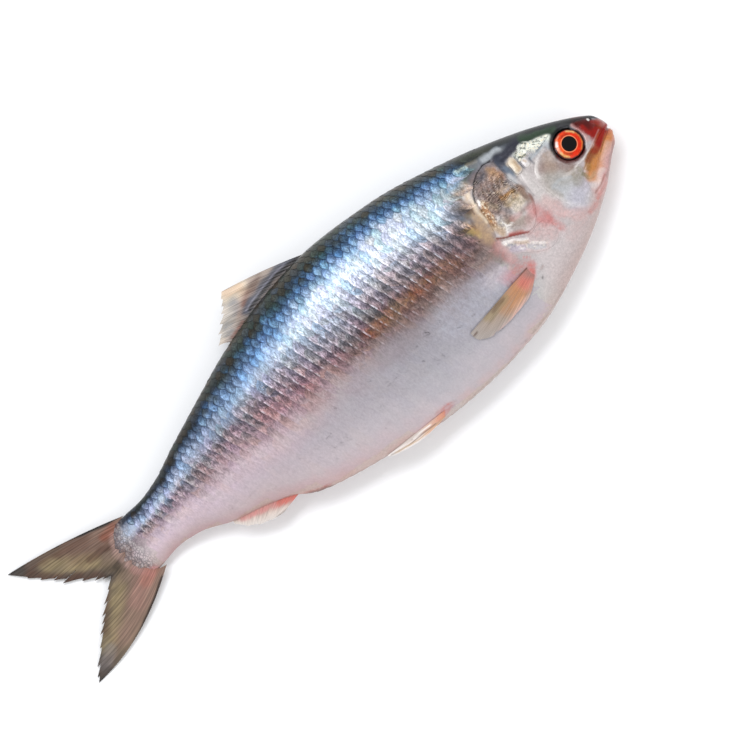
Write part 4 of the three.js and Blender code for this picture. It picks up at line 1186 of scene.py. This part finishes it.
# Both lobes, each from the fork outwards: where each tooth ends, its reach in millimetres, its tear.
UPPER_TEETH = ((0.07, 2.0, 0.0), (0.15, 2.6, 0.05), (0.28, 2.4, 0.0), (0.45, 4.2, 0.22), (0.56, 1.8, 0.05),
               (0.68, 2.0, 0.0), (0.8, 1.4, 0.0), (1.0, 0.0, 0.0))
LOWER_TEETH = ((0.14, 1.4, 0.0), (0.27, 3.0, 0.06), (0.38, 3.4, 0.07), (0.46, 2.8, 0.05), (0.55, 3.4, 0.1),
               (0.69, 2.2, 0.0), (0.83, 3.6, 0.24), (0.93, 2.6, 0.12), (1.0, 0.4, 0.0))
upper_at, upper_reach, upper_tears = fin_columns(UPPER_TEETH, 16)
lower_at, lower_reach, lower_tears = fin_columns(LOWER_TEETH, 14)
fork_tear = [0.0]
tail_columns = (np.concatenate([0.5 - 0.5 * upper_at[::-1], 0.502 + 0.498 * lower_at]),
                np.concatenate([upper_reach[::-1], lower_reach]),
                np.concatenate([upper_tears[::-1][1:], fork_tear, lower_tears]))
TAIL_ROOT_CENTRE, TAIL_ROOT_REACH, TAIL_ROOT_HALF = (-131, -6.6), 12.5, 17.3
TAIL_UPPER_TIP, TAIL_UPPER_CONTROL, TAIL_FORK = (-198.9, 28.2), (-178, 5), (-157.5, -9)
TAIL_LOWER_CONTROL, TAIL_LOWER_TIP = (-177, -24.5), (-200, -47.3)
TAIL_STROKES = [
    ("dun", 0.8, 10, (-137, 8), (-152, 11), (-165, 15)),
    ("dun", 0.8, 11, (-136, -22), (-156, -30), (-172, -37)),
    ("horn", 0.65, 7, (-160, 4), (-169, 10), (-180, 17)),
    ("horn", 0.6, 7, (-160, -17), (-174, -29), (-184, -36)),
    ("umber", 0.55, 6, (-154, 17), (-168, 20.4), (-186, 25)), ("umber", 0.4, 8, (-148, 8), (-164, 10)),
    ("rust", 0.5, 4.5, (-140, 9.6), (-146, 9)), ("coral", 0.16, 5, (-138, -21), (-146, -23.5)),
    ("rose", 0.12, 8, (-146, -22), (-156, -28)), ("umber", 0.6, 3, (-148, 4), (-160, 5)),
    ("petal", 0.2, 3.6, (-143, 6), (-147, -1), (-147.6, -8), (-144, -16)),
    ("rose", 0.2, 3, (-147, -14), (-140, -22)), ("soot", 0.45, 5, (-151, -8), (-160, -7)),
    ("umber", 0.6, 5, (-190, 20), (-178, 6), (-163, -5)), ("umber", 0.5, 5, (-165, -12), (-180, -28)),
    ("dun", 0.3, 5, (-180, -38), (-194, -44)), ("ash", 0.25, 5, (-184, -38), (-192, -43)),
    ("umber", 0.35, 7, (-158, 15), (-170, 19)), ("soot", 0.55, 5, (-191, 26), (-199, 28.2)),
    ("soot", 0.6, 5, (-193, -46), (-200, -47.3)),
    ("black", 0.9, 1.7, (-125, 11.5), (-140.5, 13.4), (-161.8, 20.9), (-177.7, 25.6), (-189.4, 28.8),
     (-199, 28.6)),
    ("soot", 0.8, 1.5, (-137, -27.6), (-156.4, -37.4), (-177.7, -46.2), (-192, -48.6), (-200, -47.5))]


def tail_root(s):
    """An arch across the root of the tail, from the upper edge to the lower."""
    return np.stack([TAIL_ROOT_CENTRE[0] - TAIL_ROOT_REACH * np.sin(s * math.pi),
                     TAIL_ROOT_CENTRE[1] + TAIL_ROOT_HALF * np.cos(s * math.pi)])


def tail_margin(s):
    """The rear margin: down the upper lobe to the fork, then out along the lower one."""
    upper = bezier(TAIL_UPPER_TIP, TAIL_UPPER_CONTROL, TAIL_FORK, np.clip(2 * s, 0, 1))
    lower = bezier(TAIL_FORK, TAIL_LOWER_CONTROL, TAIL_LOWER_TIP, np.clip(2 * s - 1, 0, 1))
    return np.where(s < 0.5, upper, lower)


def tail_bow(s):
    """How far the outer rays bow outwards."""
    share = np.abs(1 - 2 * s)**1.5
    return np.where(s < 0.5, np.array([[-0.8], [3.6]]), np.array([[-0.8], [-11.2]])) * share


def tail_height(x, y, s, t):
    """The fin hangs from the body's middle plane in soft waves, and nowhere sinks into the worktop."""
    wave = 0.7 * t**2 * np.sin(9 * s + 1) + 0.25 * t * np.sin(31 * s)
    return np.maximum(middle_height(x) + wave, 0.45)


dark_fin = fin_skin("dark_rayed_fin", (
    (0.0, "#7d6459"), (0.3, "#746154"), (0.6, "#6c5d4b"), (0.85, "#594e44"), (1.0, "#4a423c")), 0.25)
build_fin("tail_fin_rays", "tail_fin", dark_fin, tail_columns, rows=60, root_at=tail_root,
          margin_at=tail_margin, bow_at=tail_bow, height_at=tail_height, thick=(2.4, 0.7), rays=20,
          strokes=TAIL_STROKES)

# ---------------------------------------------------------------- dorsal fin
# The fin on the back, half folded down: thin pale skin over about eighteen rays, dark along its
# leading edge and grey in the fold at its base.
DORSAL_TEETH = ((0.16, 1.0, 0.0), (0.3, 1.2, 0.0), (0.45, 1.6, 0.04), (0.62, 2.0, 0.0), (0.8, 2.0, 0.06),
                (1.0, 0.0, 0.0))
DORSAL_STROKES = [
    ("mauve", 0.5, 6, (4, 58), (-12, 52)), ("cream", 0.6, 6.5, (-13, 63), (-4, 60.4)),
    ("amber", 0.25, 5, (-11, 63.5), (-5, 61)), ("umber", 0.45, 3, (8, 58.6), (0, 56), (-8, 52)),
    ("rust", 0.25, 3, (-3, 57), (-8, 53)), ("ash", 0.5, 4.5, (-12, 56), (-25, 47)),
    ("slate", 0.8, 3.8, (28, 54), (14, 54.4), (2, 52), (-10, 48.8)),
    ("lilac", 0.25, 0.7, (22, 54), (12, 53.6), (-2, 51), (-10, 49)),
    ("rust", 0.4, 2.2, (-15, 45.4), (-24, 43.4)),
    ("soot", 0.8, 1.4, (30, 52.2), (14, 52.4), (0, 50), (-8, 48.2)),
    ("black", 1.0, 1.2, (38, 51.4), (20, 57.4), (4, 62)),
    ("umber", 0.7, 1.0, (4, 62), (-4, 64), (-12, 65.8))]


def edge_root(start, end, edge, inset):
    """A fin's root along the back or the belly, from one x to another, inset from the edge."""
    def root_at(s):
        x = start + (end - start) * s
        return np.stack([x, edge(x) + inset])

    return root_at


dorsal_skin = fin_skin("pale_rayed_fin", (
    (0.0, "#5a5350"), (0.2, "#6b605a"), (0.5, "#a6978c"), (0.75, "#c0b3a4"), (1.0, "#c6bdb3")), 0.28)
build_fin("dorsal_fin_rays", "dorsal_fin", dorsal_skin, fin_columns(DORSAL_TEETH, 22),
          rows=34, root_at=edge_root(37.5, -25.2, back_line, -2),
          margin_at=lambda s: bezier((-12.8, 65.3), (-18.3, 54.5), (-33.0, 44.6), s),
          bow_at=lambda s: np.array([[0.0], [2.2]]) * ((1 - s)**2 + s**2),
          height_at=lambda x, y, s, t: middle_height(x) + 0.8 * t * np.sin(14 * s) - 1.2 * t,
          thick=(1.8, 0.5), rays=18, strokes=DORSAL_STROKES)

# ---------------------------------------------------------------- anal fin
# A long, low fin under the tail root, folded against the body: orange-pink at its base, pale grey out
# to its margin.
ANAL_TEETH = ((0.25, 0.6, 0.0), (0.5, 0.8, 0.0), (0.75, 0.6, 0.0), (1.0, 0.0, 0.0))
ANAL_STROKES = [
    ("rose", 0.6, 3.4, (-53, -44), (-66, -38), (-84, -32)), ("coral", 0.5, 3, (-54, -43), (-64, -39)),
    ("umber", 0.4, 0.8, (-50, -45), (-60, -44.8), (-70, -43.8))]
anal_skin = fin_skin("pink_rayed_fin", (
    (0.0, "#a47c72"), (0.4, "#ab8d81"), (0.7, "#c4b4ab"), (1.0, "#d0c8c1")), 0.16)
build_fin("anal_fin_rays", "anal_fin", anal_skin, fin_columns(ANAL_TEETH, 18),
          rows=20, root_at=edge_root(-50, -88.5, belly_line, 3),
          margin_at=lambda s: bezier((-66.0, -44.6), (-81.5, -42.0), (-89.2, -31.8), s),
          bow_at=lambda s: np.zeros((2, len(s))),
          height_at=lambda x, y, s, t: middle_height(x) + 0.4 * t * np.sin(11 * s),
          thick=(1.6, 0.5), rays=19, strokes=ANAL_STROKES)

# ---------------------------------------------------------------- pectoral fins
# One behind each gill cover, laid back along the flank: red at its fleshy root, orange along its
# upper rays, and clear grey out to its rounded tip.
PECTORAL_TEETH = ((0.3, 0.5, 0.0), (0.55, 0.9, 0.05), (0.8, 0.7, 0.0), (1.0, 0.0, 0.0))
PECTORAL_STROKES = [
    ("amber", 0.25, 7, (108, -39), (95, -41.4)), ("rose", 0.6, 9, (119, -36), (113, -38)),
    ("coral", 0.35, 5, (118, -35.5), (111, -37.6)), ("mauve", 0.7, 6, (120, -34), (116.4, -35.6)),
    ("horn", 0.6, 4, (97, -37), (84, -39)), ("flesh", 0.3, 3.4, (104, -44), (93, -46.4)),
    ("petal", 0.4, 3.4, (108, -45.5), (94, -48.6), (80, -49.4)),
    ("umber", 0.6, 0.9, (72, -41), (74, -40.6)), ("umber", 0.5, 1.6, (96, -36.4), (88, -38)),
    ("umber", 0.7, 0.6, (118, -32.6), (98, -34.5), (84, -37))]


def pectoral_height(side):
    """Its root lies in the skin, and its blade stands about a millimetre off the flank."""
    return lambda x, y, s, t: middle_height(x) + side * (
        flank_height(x, y) - 1 + 1.4 * np.clip(t / 0.14, 0, 1) + 0.5 * t**2 + 0.4 * t * np.sin(math.pi * s))


pectoral_skin = fin_skin("orange_rayed_fin", (
    (0.0, "#a06355"), (0.3, "#a67b5e"), (0.6, "#917d6c"), (1.0, "#9b928c")), 0.2)
for side, side_name in SIDES:
    build_fin(f"pectoral_fin_rays_{side_name}", f"pectoral_fin_{side_name}", pectoral_skin,
              fin_columns(PECTORAL_TEETH, 20), rows=36,
              root_at=lambda s: np.stack([119.5 - 1.5 * s, -32.0 - 5.5 * s]),
              margin_at=lambda s: bezier((71.5, -38.8), (70, -52.5), (107.0, -45.4), s),
              bow_at=lambda s: np.stack([np.zeros_like(s), -1.5 * s]),
              height_at=pectoral_height(side), thick=(1.2, 0.35), rays=15, strokes=PECTORAL_STROKES)

# ---------------------------------------------------------------- pelvic fins
# A small pair under the belly, folded back along the keel, with a fleshy orange root.
PELVIC_TEETH = ((0.5, 0.4, 0.0), (1.0, 0.0, 0.0))
PELVIC_STROKES = [
    ("coral", 0.5, 4, (37, -61.6), (30, -62.4)), ("flesh", 0.5, 4, (30, -62), (20, -62.5)),
    ("chalk", 0.8, 0.7, (24, -61.2), (12, -60.5)),
    ("umber", 0.5, 0.6, (26, -62.6), (8, -61.6), (-3, -59.6)),
    ("tan", 0.6, 0.7, (34, -63.4), (14, -63), (0, -60.2))]


def pelvic_height(side):
    """It lies flat against the belly, beside the keel."""
    return lambda x, y, s, t: middle_height(x) + side * (
        flank_height(x, np.maximum(y, belly_line(x) + 0.6)) - 0.8 + 0.85 * np.clip(t / 0.14, 0, 1) + 0.1 * t)


pelvic_skin = fin_skin("pale_pelvic_fin", (
    (0.0, "#bb8572"), (0.4, "#c9b6ac"), (1.0, "#dcd6d1")), 0.14)
for side, side_name in SIDES:
    build_fin(f"pelvic_fin_rays_{side_name}", f"pelvic_fin_{side_name}", pelvic_skin,
              fin_columns(PELVIC_TEETH, 20), rows=24,
              root_at=lambda s: np.stack([37.5 - 4 * s, -60.5 - 2.6 * s]),
              margin_at=lambda s: bezier((-4, -58.4), (-5, -60.8), (14.0, -64.2), s),
              bow_at=lambda s: np.stack([np.zeros_like(s), -0.8 * s]),
              height_at=pelvic_height(side), thick=(1.2, 0.5), rays=9, strokes=PELVIC_STROKES)
